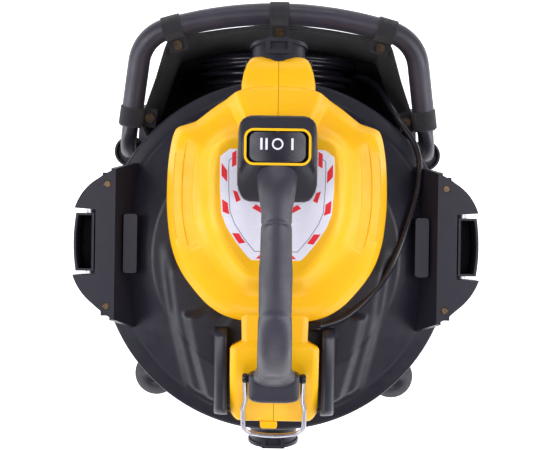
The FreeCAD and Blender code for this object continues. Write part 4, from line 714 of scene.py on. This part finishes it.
# ================================================================ carry handle
# Stations along the grip: y, height of its middle, half width, half height.
GRIP = [(122, 880, 24, 15), (110, 887, 25, 17), (98, 893.5, 24.6, 18.5), (86, 898.5, 23.6, 19.5),
        (74, 901.5, 21.8, 19.8),
        (62, 902.8, 19.8, 19.4), (54, 903, 18.9, 19.2), (44, 903, 18.9, 19.2), (30, 903, 19.2, 19.5),
        (4, 903, 19.6, 19.7),
        (-16, 903, 20.7, 19.7), (-40, 902.8, 20.5, 19.7), (-62, 902, 20.3, 19.6), (-80, 899, 20.8, 19.6),
        (-96, 892.5, 21.2, 19.4), (-110, 883, 21.5, 19.2), (-123, 869.5, 21.7, 19), (-134, 854, 22.0, 18.6),
        (-142, 840, 22.4, 18), (-146, 832, 24, 16.8), (-150, 825, 26, 15), (-154, 817, 26.5, 13)]
CREASES = [(46, 1.0, 2.0), (-64, 0.8, 2.2), (-132, 0.9, 2.6), (-141, 0.7, 2.4)]   # y, depth, half width
GRIP_STEPS, GRIP_AROUND = 150, 56


def eased(stations, share):
    """A smooth value along stations, by Catmull-Rom through its neighbours."""
    where = share * (len(stations) - 1)
    i = min(int(where), len(stations) - 2)
    t = where - i
    a, b = stations[max(i - 1, 0)], stations[i]
    c, d = stations[i + 1], stations[min(i + 2, len(stations) - 1)]
    return [0.5 * (2 * q + (r - p) * t + (2 * p - 5 * q + 4 * r - s) * t * t +
                   (3 * q - p - 3 * r + s) * t ** 3)
            for p, q, r, s in zip(a, b, c, d)]


def grip_tube():
    rings = []
    for i in range(GRIP_STEPS + 1):
        y, z, wide, high = eased(GRIP, i / GRIP_STEPS)
        ahead, behind = eased(GRIP, min(1, (i + 1) / GRIP_STEPS)), eased(GRIP, max(0, (i - 1) / GRIP_STEPS))
        run = Vector((0, ahead[0] - behind[0], ahead[1] - behind[1])).normalized()
        up = Vector((0, -run.z, run.y)) * (-1 if run.y > 0 else 1)
        up = up if up.z > 0 else -up
        ring = []
        for k in range(GRIP_AROUND):
            angle = 2 * math.pi * (k + 0.5) / GRIP_AROUND
            c, s = math.cos(angle), math.sin(angle)
            c, s = math.copysign(abs(c) ** 0.88, c), math.copysign(abs(s) ** 0.88, s)
            dip = sum(d * math.exp(-((y + 5 * abs(c) - at_y) / w) ** 2) for at_y, d, w in CREASES)
            groove = 0.9 * math.exp(-((c * wide) / 0.9) ** 2) if s > 0 else 0.0
            x = c * (wide - dip)
            rise = s * (high - dip) - groove
            ring.append((x, y + up.y * rise, z + up.z * rise))
        rings.append(ring)
    points, faces = skin(rings)
    return capped(points, faces, GRIP_AROUND)


HOUSING = [(0, 175), (32, 175), (41, 172.5), (46, 167), (48, 158), (48.6, 120), (48.8, 92), (46.5, 84),
           (42, 74.5),
           (36, 71.5), (0, 71)]
SWITCH_Y = 136.0


def housing_ring(inset, z, sign_points=72):
    """The housing's plan, pulled in, and cut down where its front slopes."""
    ring = []
    full = HOUSING + mirrored(HOUSING[1:-1])[::-1]
    for i in range(sign_points):
        angle = 2 * math.pi * (i + 0.5) / sign_points
        across, up = math.cos(angle), math.sin(angle)
        best = 0.0
        for (ax, ay), (bx, by) in zip(full, full[1:] + full[:1]):
            ay, by = ay - 123, by - 123
            fall = (bx - ax) * up - (by - ay) * across
            if abs(fall) < 1e-9:
                continue
            share = (ay * across - ax * up) / fall
            if 0 <= share <= 1:
                best = max(best, (ax + (bx - ax) * share) * across + (ay + (by - ay) * share) * up)
        x, y = (best - inset) * across, 123 + (best - inset) * up
        ring.append((x, y, min(z, interpolate(HOUSING_SLOPE, y) - inset * 0.15)))
    return ring


HOUSING_SLOPE = [(70, 862), (76, 872), (90, 888), (101, 899), (108, 904), (114, 905), (175, 905)]


def rounded_rect(half_x, half_y, radius, z, count=72):
    """A rounded rectangle round the switch, its points at even angles like the housing's."""
    ring = []
    for i in range(count):
        angle = 2 * math.pi * (i + 0.5) / count
        across, up = math.cos(angle), math.sin(angle)
        reach = min(half_x / max(abs(across), 1e-6), half_y / max(abs(up), 1e-6))
        x, y = reach * across, reach * up
        cx, cy = half_x - radius, half_y - radius
        if abs(x) > cx and abs(y) > cy:
            dx, dy = abs(x) - cx, abs(y) - cy
            length = math.hypot(dx, dy)
            if length > radius:
                x = math.copysign(cx + dx / length * radius, x)
                y = math.copysign(cy + dy / length * radius, y)
        ring.append((x, SWITCH_Y + y, z))
    return ring


def housing_block():
    rings = [housing_ring(-1.8, 838), housing_ring(-1.4, 862), housing_ring(-0.6, 885),
             housing_ring(0.5, 899),
             housing_ring(1.6, 903), housing_ring(4.0, 904.8), housing_ring(5.0, 905)]
    rings += [rounded_rect(41.4, 22.9, 12.4, 905), rounded_rect(41.1, 22.6, 12.1, 904.5),
              rounded_rect(41.1, 22.6, 12.1, 902.2), rounded_rect(37.9, 19.4, 9, 902),
              rounded_rect(37.9, 19.4, 9, 888)]
    points, faces = skin(rings)
    return capped(points, faces, 72)


def foot_block():
    rings = []
    for z, inset in ((748, 0), (790, 0), (806, 0.2), (812, 0.8), (815.5, 2.2), (817, 4.5), (817.5, 9)):
        ring = []
        for i in range(64):
            angle = 2 * math.pi * (i + 0.5) / 64
            c, s = math.cos(angle), math.sin(angle)
            c, s = math.copysign(abs(c) ** 0.24, c), math.copysign(abs(s) ** 0.24, s)
            x = c * (33 - inset)
            bow = 3.5 * (1 - (x / 33) ** 2) if s < 0 else 0.0
            ring.append((x, -167 + s * (18.5 - inset) - bow, z))
        rings.append(ring)
    points, faces = skin(rings)
    return capped(points, faces, 64)


def make_carry_handle():
    for name, shape, skin_material in (("carry_housing", housing_block(), "black"),
                                       ("carry_grip", grip_tube(), "grip"),
                                       ("carry_foot", foot_block(), "black_soft")):
        piece = add_piece(name, shape, skin_material, "head", sharp=40.0)
        if name != "carry_grip":
            bevel(piece, 0.8, 2, 30.0)
    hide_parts("handle_shell_left", "handle_shell_right")


def rocker_height(x):
    """The dished top of the rocker."""
    return 907.5 - 4.0 * (1 - (x / 34.0) ** 2) + 0.1


def make_switch_marks():
    """The marks II, O and I on the rocker, a little raised."""
    shapes = []
    for x0 in (-21.2, -14.9, 16.6):
        corners = [(x0, 132.4), (x0 + 2.7, 132.4), (x0 + 2.7, 146.6), (x0, 146.6)]
        points = [(x, y, rocker_height(x) + dz) for dz in (-0.5, 0.35) for x, y in corners]
        shapes.append((points, BRICK_FACES))
    rings = [[(r * math.cos(a), 139.5 + r * math.sin(a), rocker_height(r * math.cos(a)) + dz)
              for a in (2 * math.pi * i / 48 for i in range(48))] for r,
              dz in ((7.0, -0.5), (7.0, 0.35), (5.0, 0.35),
                                                                                (5.0, -0.5))]
    shapes.append(skin(rings))
    piece = add_piece("rocker_marks", merged(shapes), "mark", "rocker", smooth=False)


# ================================================================ black head
FIRST_STEP = [(-190, 113), (-115, 129), (-73, 137), (-8, 147), (30, 152)]     # y, x of each terrace's edge
SECOND_STEP = [(-202, 90), (-82, 118), (-60, 123)]


def head_height(x, y):
    """The head's upper surface: the dome, the front terraces and the rear platforms."""
    x, reach = abs(x), math.hypot(x, y)
    z = dome_height(x, y)
    rim = 1 - smoothstep(211, 219, reach)
    z += 11 * smoothstep(-9, 8, interpolate(FIRST_STEP, y) - x) * (1 - smoothstep(-30, 20, y)) * rim
    z += 10 * smoothstep(-6, 6, interpolate(SECOND_STEP, y) - x) * (1 - smoothstep(-84, -74, y)) * rim
    angle = math.degrees(math.atan2(y, x))
    rear = smoothstep(54, 56, angle) * (1 - smoothstep(78, 80, angle)) * (1 - smoothstep(213, 216, reach))
    z = max(z, 690 + 34 * rear)
    for middle in (56.5, 77.0):
        block = smoothstep(middle - 2.2, middle - 1.4,
                           angle) * (1 - smoothstep(middle + 1.4, middle + 2.2, angle))
        z += 5 * block * (1 - smoothstep(213, 216, reach)) * smoothstep(196, 199, reach)
    return z


def make_head():
    reaches = [60, 100, 130] + [136 + 2.4 * i for i in range(36)] + [221.5, 223, 225]
    around = 420
    rings = []
    for reach in reaches:
        ring = []
        for i in range(around):
            angle = 2 * math.pi * i / around
            x, y = reach * math.cos(angle), reach * math.sin(angle)
            bead = 1.4 if 220.5 < reach < 224 else 0.0
            ring.append((x, y, head_height(x, y) + bead))
        rings.append(ring)
    for reach, z in ((236, 690), (239, 689), (240, 686.5), (240, 664), (239, 660.5), (236, 660), (233, 660),
                     (232, 662),
                     (232, 678), (195, 678), (195, 682), (212, 682), (212, 693), (163, 731), (60, 731)):
        rings.append([(reach * math.cos(2 * math.pi * i / around),
                       reach * math.sin(2 * math.pi * i / around), z)
                      for i in range(around)])
    piece = add_piece("head_shell", skin(rings, along=True), "black", "head", sharp=50.0)
    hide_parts("head_base")
    make_pedestal()
    make_flanks()


def make_pedestal():
    """The step under the cover, with a rounded upper edge."""
    half = rounded_half(BODY_EDGE)
    angles = corner_angles(BODY_EDGE)
    rings = []
    for inset, z in ((-3.5, 688), (-3.5, 731), (-2.8, 733.5), (-0.5, 734.6), (12, 734.6), (100, 734.6)):
        right = []
        for angle in angles:
            reach = max(20, ray_reach(half, angle) - inset)
            right.append((reach * math.cos(angle), COVER_CENTRE + reach * math.sin(angle), z))
        rings.append(right + mirrored(right[1:-1])[::-1])
    piece = add_piece("head_pedestal", skin(rings), "black", "head", sharp=40.0)


FLANK = [(-94, 752), (-94.6, 768), (-97, 778), (-101.5, 784), (-108, 786), (-150, 774), (-203, 757),
         (-209, 751),
         (-212.5, 743), (-214, 730), (-214, 700)]          # y, top


def make_flanks():
    for side, sign in (("right", 1), ("left", -1)):
        rings = []
        for y, top in FLANK:
            flare = 3.0 * smoothstep(-196, -214, y)
            foot = dome_height(70, y) - 2
            section = [(80.5 + flare, foot), (79.8, max(foot, top - 15)), (78.4, max(foot, top - 9)),
                       (75, top - 4.4),
                       (69, top - 0.6), (67, top), (64.5, top), (62.8, top - 1), (62, top - 3), (62, foot)]
            rings.append([(sign * x, y, max(z, foot)) for x, z in section])
        points, faces = skin(rings)
        piece = add_piece("spine_wall_" + side, capped(points, faces, 10), "black",
                             "head", sharp=45.0)


# ================================================================ bail clips and the cover's small parts
def make_small_parts():
    for side, sign in (("right", 1), ("left", -1)):
        rings = []
        for x, r in ((32.5, 5.2), (35.0, 5.6), (36.2, 6.4), (39.0, 6.4), (40.8, 5.4), (41.4, 3.4)):
            rings.append([(sign * x, -158 + r * math.cos(a), 793 + r * math.sin(a) * 0.9)
                          for a in (2 * math.pi * i / 28 for i in range(28))])
        points, faces = skin(rings)
        piece = add_piece("bail_clip_" + side, capped(points, faces, 28),
                             "black_gloss", "head")
    tab = [(-18, -221), (4, -221), (5, -226), (4, -231), (-16, -231), (-18, -228)]
    piece = prism_piece("cover_catch", tab, 716, 737.5, "yellow", "head", 1.2)


# ================================================================ cord bag and its straps
HANDLE_LIFT = math.tan(math.radians(14.0))
POST_Y, CORNER_X, CORNER_Y, CROWN_Y, POST_X = 143.06, 187.0, 298.06, 349.06, 210.0
CROWN_BEND = 536.0
BAG_LOW = 440.0
STRAP_IN = 15.5               # inner radius of a strap round the grip sleeve


def plane_height(y):
    return 650.0 + (y - POST_Y) * HANDLE_LIFT


def bag_outline(count=220):
    """Points round the bag in plan, from the middle of its front."""
    front = [(-228 * math.sin(a), 228 * math.cos(a)) for a in
             (math.asin(172 / 228) * t / 20 for t in range(0, 21))]
    front = [(-x, y) for x, y in front]
    sides = [(182, 165), (188, 182), (184.8, 191), (154, 282), (150, 291), (143, 293.1)]
    rear = [(143 - 143 * t / 14, 312.1 - 19.0 * ((143 - 143 * t / 14) / 143) ** 2) for t in range(1, 15)]
    half = front + sides + rear
    full = half + [(-x, y) for x, y in half[-2:0:-1]]
    lengths = [0.0]
    for a, b in zip(full, full[1:] + full[:1]):
        lengths.append(lengths[-1] + math.dist(a, b))
    points, i = [], 0
    for k in range(count):
        target = lengths[-1] * k / count
        while lengths[i + 1] < target:
            i += 1
        share = (target - lengths[i]) / (lengths[i + 1] - lengths[i])
        (ax, ay), (bx, by) = full[i], full[(i + 1) % len(full)]
        points.append((ax + (bx - ax) * share, ay + (by - ay) * share))
    return points


def mouth_height(x, y):
    """The bag's edge: under the head's rim in front, hung from the straps at the sides and rear."""
    z = plane_height(y) - 6.0
    anchors = [(0, 312), (146, 292), (-146, 292), (186, 190), (-186, 190)]
    nearest = min(math.dist((x, y), a) for a in anchors)
    z -= 9.0 * smoothstep(8, 60, nearest)
    under = 1 - smoothstep(247, 262, math.hypot(x, y))
    return z + (min(z, 650.0) - z) * under


def bag_wall():
    """The pouch's cloth, row by row down from the mouth, with folds and a sagging belly."""
    outline = bag_outline()
    count = len(outline)
    rows = 26
    rings = []
    for row in range(rows + 1):
        share = row / rows
        ring = []
        for i, (x, y) in enumerate(outline):
            (px, py), (nx, ny) = outline[i - 1], outline[(i + 1) % count]
            run = math.hypot(nx - px, ny - py)
            out_x, out_y = (ny - py) / run, -(nx - px) / run
            turn = 2 * math.pi * i / count
            front = math.hypot(x, y) < 229.5
            folds = (math.sin(9 * turn + 3 * share) * 1.2 + math.sin(17 * turn - 5 * share + 1) * 0.7) * \
                math.sin(math.pi * min(1, share * 1.15))
            belly = (-0.4 if front else 4.5) * math.sin(math.pi * share) ** 1.3
            tuck = -9.0 * smoothstep(0.93, 1.0, share) ** 1.5
            push = (belly + (0.35 if front else 1.0) * folds + tuck - 1.5) * (-1)
            top = mouth_height(x, y)
            z = top + (BAG_LOW - top) * (1 - (1 - share) ** 1.02)
            ring.append((x + out_x * push, y + out_y * push, z))
        rings.append(ring)
    return rings, count


def tube_ring(path, radius, count=10, closed=True, flat=1.0):
    """A tube of small section along a closed path of points."""
    rings = []
    for i, place in enumerate(path):
        ahead, behind = Vector(path[(i + 1) % len(path)]), Vector(path[i - 1])
        run = (ahead - behind).normalized()
        side = run.cross(Vector((0, 0, 1))).normalized()
        up = side.cross(run)
        rings.append([tuple(Vector(place) + side * (radius * flat * math.cos(a)) +
                            up * (radius * math.sin(a)))
                      for a in (2 * math.pi * k / count for k in range(count))])
    return skin(rings, along=closed)


def make_bag():
    rings, count = bag_wall()
    points, faces = skin(rings)
    base = len(points) - count
    faces.append(tuple(range(base, len(points))))
    mesh = mesh_from("cord_pouch", points, faces)
    piece = finish_piece("cord_pouch", mesh, "bag", "trolley", sharp=60.0)
    thick = piece.modifiers.new("cloth_thickness", "SOLIDIFY")
    thick.thickness = 2.0 * MM
    thick.offset = -1.0
    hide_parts("cord_bag")
    hem = tube_ring([(x, y, z + 0.5) for x, y, z in rings[0]], 3.4, 12, flat=0.62)
    piece = add_piece("pouch_hem", hem, "webbing", "trolley")
    seam_low = tube_ring([(x, y, z) for x, y, z in rings[-3]], 1.6, 8)
    piece = add_piece("pouch_base_seam", seam_low, "webbing", "trolley")


def strap_places():
    """Middle of each strap on the handle tube, the tube's direction there, and the way inwards."""
    def plane(x, y):
        return Vector((x, y, plane_height(y)))

    lean = math.cos(math.radians(14.0))
    half_turn = math.atan2((CROWN_Y - CORNER_Y) / lean, CORNER_X)
    crown = CROWN_Y - CROWN_BEND * (1 / math.cos(half_turn) - 1) * lean
    places = [("rear", plane(0, crown), Vector((1, 0, 0)), Vector((0, -1, -HANDLE_LIFT)))]
    for side, sign in (("left", -1), ("right", 1)):
        run = plane(sign * CORNER_X, CORNER_Y) - plane(0, CROWN_Y)
        places.append(("corner_" + side, plane(0, CROWN_Y) + run * (146.0 / CORNER_X), run,
                       Vector((-sign * 0.35, -1, -HANDLE_LIFT))))
        leg = plane(sign * POST_X, POST_Y) - plane(sign * CORNER_X, CORNER_Y)
        places.append(("side_" + side, plane(sign * CORNER_X,
                                             CORNER_Y) + leg * ((190.06 - CORNER_Y) / (POST_Y - CORNER_Y)),
                       leg, Vector((-sign, 0.1, 0))))
    return places


def make_straps():
    for name, middle, along, inward in strap_places():
        along = along.normalized()
        inward = (inward - along * inward.dot(along)).normalized()
        up = along.cross(inward)
        up = up if up.z > 0 else -up
        rings = []
        for i in range(44):
            angle = 2 * math.pi * i / 44
            outward = inward * math.cos(angle) + up * math.sin(angle)
            profile = [(-13, 0.0), (-13, 0.9), (-12.2, 1.5), (-11.2, 1.25)]
            profile += [(k - 11, 1.5 if k % 2 else 1.1) for k in range(23)]
            profile += [(11.2, 1.25), (12.2, 1.5), (13, 0.9), (13, 0.0)]
            rings.append([tuple(middle + along * a + outward * (STRAP_IN + r)) for a, r in profile])
        band = skin(rings, around=True, along=True)
        strip_rings = []
        for k in range(13):
            share = k / 12
            reach = STRAP_IN + 0.2 + 18.5 * share
            drop = -2.0 - 1.6 * math.sin(math.pi * share) - 1.2 * share ** 2
            centre = middle + inward * reach + up * drop
            half = 13.0 - 0.8 * smoothstep(0.9, 1.0, share)
            strip_rings.append([tuple(centre + along * a + up * b) for a, b in (
                (-half, -1), (-half, 0.6), (-half + 1.2, 1.0), (-half + 2.4, 0.8), (half - 2.4, 0.8),
                (half - 1.2, 1.0),
                (half, 0.6), (half, -1))])
        points, faces = skin(strip_rings)
        tab = capped(points, faces, 8)
        stitches = []
        for k in range(7):
            for offset in (STRAP_IN + 2, STRAP_IN + 16):
                a0 = -9.6 + 2.9 * k
                centre = middle + inward * offset - up * (2.2 if offset < STRAP_IN + 9 else 3.4)
                corners = [tuple(centre + along * (a0 + da) + inward * di + up * dz) for dz in (0.2, 1.5)
                           for da, di in ((0, 0), (1.9, 0), (1.9, 0.7), (0, 0.7))]
                stitches.append((corners, BRICK_FACES))
        piece = add_piece("strap_" + name, merged([band, tab] + stitches), "webbing",
                             "trolley", sharp=50.0)
        if name == "rear":
            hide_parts("strap_loops")


# ================================================================ drum, wheels and filter
def spun(profile, count):
    """A shape of revolution about the drum's axis from a closed profile of (radius, height)."""
    rings = []
    for i in range(count):
        a = 2 * math.pi * i / count
        rings.append([(r * math.cos(a), r * math.sin(a), z) for r, z in profile])
    return skin(rings, along=True)


DRUM_RADIUS = 220.0
SWAGE_HEIGHTS = (196.0, 300.0, 308.0, 560.0, 640.0)
SWAGE_RISE = 2.6
INLET_HALF = 52.0         # the inlet port's block, where the swages stop
INLET_LOW, INLET_HIGH = 452.0, 570.0


def make_drum_details():
    """Rolled swages round the steel drum, left open where the inlet port passes."""
    rings = []
    for z in SWAGE_HEIGHTS:
        bulge = [(DRUM_RADIUS + SWAGE_RISE * math.sin(math.pi * k / 8) ** 1.2, z - 4.5 + 9 * k / 8)
                 for k in range(9)]
        rings.append(spun([(DRUM_RADIUS - 0.4, z - 5)] + bulge + [(DRUM_RADIUS - 0.4, z + 5)], 160))
    points, faces = merged(rings)
    keep = []
    for face in faces:
        xs = [points[i] for i in face]
        if not any(abs(x) < INLET_HALF and y < 0 and INLET_LOW < z < INLET_HIGH for x, y, z in xs):
            keep.append(face)
    piece = add_piece("drum_swages", (points, keep), "stainless", "trolley", sharp=60.0)


def wheel_tyre(name, x0, x1, radius, inner, y, z, blocks):
    """A tyre with shoulder blocks and two grooves round its tread."""
    rings = []
    steps = blocks * 6
    half = (x1 - x0) / 2
    middle = (x0 + x1) / 2
    for i in range(steps):
        angle = 2 * math.pi * i / steps
        cut = 1.0 if (i % 6) in (0, 1) else 0.0
        section = [(-half + 2, inner), (-half + 1, inner + 7), (-half, radius - 16),
                   (-half, radius - 8 - cut),
                   (-half + 2.2, radius - 3.2 - 2 * cut), (-half + 7, radius - 0.2 - 2.4 * cut),
                   (-4.8, radius),
                   (-4.4, radius - 2.6), (-2.4, radius - 2.6), (-2.0, radius), (2.0, radius),
                   (2.4, radius - 2.6),
                   (4.4, radius - 2.6), (4.8, radius), (half - 7, radius - 0.2 - 2.4 * cut),
                   (half - 2.2, radius - 3.2 - 2 * cut), (half, radius - 8 - cut), (half, radius - 16),
                   (half - 1, inner + 7), (half - 2, inner)]
        rings.append([(middle + x, y + r * math.cos(angle), z + r * math.sin(angle)) for x, r in section])
    return mesh_from(name, *skin(rings, along=True))


def make_tyres():
    for side, sign in (("right", 1), ("left", -1)):
        x0, x1 = sorted((sign * 198.0, sign * 234.0))
        mesh = wheel_tyre("treaded_tyre_" + side, x0, x1, 90.0, 62.0, 155.0, 90.0, 44)
        piece = finish_piece("treaded_tyre_" + side, mesh, "tyre", "wheel_" + side, sharp=40.0)
        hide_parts("rear_tyre_" + side)


def make_filter():
    """The pleated cartridge: one long zigzag of paper between two rings."""
    pleats = 84
    low, high = 522.0, 649.5
    rings = []
    for radius_in, radius_out in ((113.5, 146.5), (112.4, 145.4)):
        ring = []
        for i in range(pleats * 4):
            angle = 2 * math.pi * i / (pleats * 4)
            share = (0.0, 0.5, 1.0, 0.5)[i % 4]
            ring.append((angle, radius_in + (radius_out - radius_in) * share))
        rings.append(ring)
    outer = [[(r * math.cos(a), r * math.sin(a), z) for a, r in rings[0]] for z in (low, high)]
    inner = [[(r * math.cos(a), r * math.sin(a), z) for a, r in rings[1]] for z in (high, low)]
    pleated = add_piece("filter_pleats", skin(outer + inner, along=True), "paper", "head",
                           smooth=False)
    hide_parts("filter_cartridge")
    ends = []
    for z0, z1 in ((520.2, 526), (645, 649.8)):
        ends.append(spun([(111.5, z0), (148, z0), (148.8, z0 + 1), (148.8, z1 - 1), (148, z1), (111.5, z1)],
                         120))
    piece = add_piece("filter_rings", merged(ends), "rubber", "head")


BEVELLED = {
    "latch_keepers": 1.5, "side_latch_left": 0.7, "side_latch_right": 0.7, "blower_port": 0.8,
    "inlet_port": 0.8, "trolley_base": 1.2, "caster_fork_left": 0.6, "caster_fork_right": 0.6,
    "rocker_switch": 0.9,
    "switch_bezel": 0.6, "handle_collars": 0.8, "snap_buttons": 0.6, "latch_brackets": 0.5,
    "rear_hub_left": 0.8,
    "rear_hub_right": 0.8, "axle_caps": 0.5, "filter_end_plate": 0.8, "suction_manifold": 0.8,
    "power_plug": 0.7,
    "wing_screws": 0.3, "inlet_deflector": 0.5, "caster_wheel_left": 0.5, "caster_wheel_right": 0.5}


def soften_nodes():
    for name, width in BEVELLED.items():
        bevel(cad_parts[name], width, 2, 35.0)


# ================================================================ power cord
# The same route as the model's: from the gland over the head and the rim into the bag.
LEAD = [
    (62.0, -91.0, 766.0), (84.0, -86.0, 758.0), (108.0, -70.0, 748.0), (130.0, -49.0, 743.0),
    (148.0, -25.0, 743.0), (163.0, 7.0, 741.0), (175.0, 42.0, 733.0), (187.0, 76.0, 719.0),
    (193.0, 109.0, 714.0), (192.0, 138.0, 709.0), (184.0, 160.0, 704.0), (168.0, 181.0, 699.0),
    (156.0, 204.0, 680.0), (146.0, 226.0, 652.0), (136.0, 243.0, 620.0), (125.0, 255.0, 586.0),
    (114.0, 261.0, 550.0)]
TAIL = [(84.0, 261.0, 572.0), (74.0, 261.0, 545.0), (52.0, 261.0, 525.0), (24.0, 261.0, 519.0),
        (8.0, 261.0, 520.0)]
CORD_D = 8.0
COIL_Y, COIL_Z = 261.0, 539.0
COIL_OUT = (115.0, 90.0)      # half width and half height of the outermost turns
COIL_IN = (89.0, 64.0)
COIL_DEPTH = 19.0             # how far the turns wander to the front and rear
COIL_TURNS = 12.92
TURN_POINTS = 16


def coil_points():
    """The turns in the bag, wound inwards. They lean and differ in size, as a loose coil does."""
    points = []
    total = round(COIL_TURNS * TURN_POINTS)
    for i in range(1, total):
        share = i / total
        turn = share * COIL_TURNS
        angle = -2 * math.pi * turn
        layer = 0.5 + 0.5 * math.cos(2 * math.pi * 1.5 * share)
        half_wide = COIL_IN[0] + (COIL_OUT[0] - COIL_IN[0]) * layer
        half_high = COIL_IN[1] + (COIL_OUT[1] - COIL_IN[1]) * layer
        depth = COIL_DEPTH * math.sin(2 * math.pi * (share * 2.0 + 0.02))
        lean = 2.0 * math.sin(angle * 0.5 + 5.0 * share)
        points.append((half_wide * math.cos(angle), COIL_Y + depth + lean,
                       COIL_Z + half_high * math.sin(angle)))
    return points


def make_cord():
    points = LEAD + coil_points() + TAIL
    curve = bpy.data.curves.new("power_lead", "CURVE")
    curve.dimensions = "3D"
    spline = curve.splines.new("NURBS")
    spline.points.add(len(points) - 1)
    for control, place in zip(spline.points, points):
        control.co = (*at(*place), 1.0)
    spline.order_u = 3
    spline.use_endpoint_u = True
    spline.resolution_u = 6
    curve.bevel_depth = CORD_D / 2 * MM
    curve.bevel_resolution = 4
    curve.use_fill_caps = True
    curve.materials.append(MATERIALS["cord"])
    lead = bpy.data.objects.new("power_lead", curve)
    bpy.context.collection.objects.link(lead)
    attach(lead, "head")
    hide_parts("power_cord", "cord_coil", "cord_tail")
    return lead


paint_nodes()
make_camera()
make_cover()
make_label()
make_carry_handle()
make_switch_marks()
make_head()
make_small_parts()
make_bag()
make_straps()
make_drum_details()
make_tyres()
make_filter()
soften_nodes()
make_cord()
make_studio()
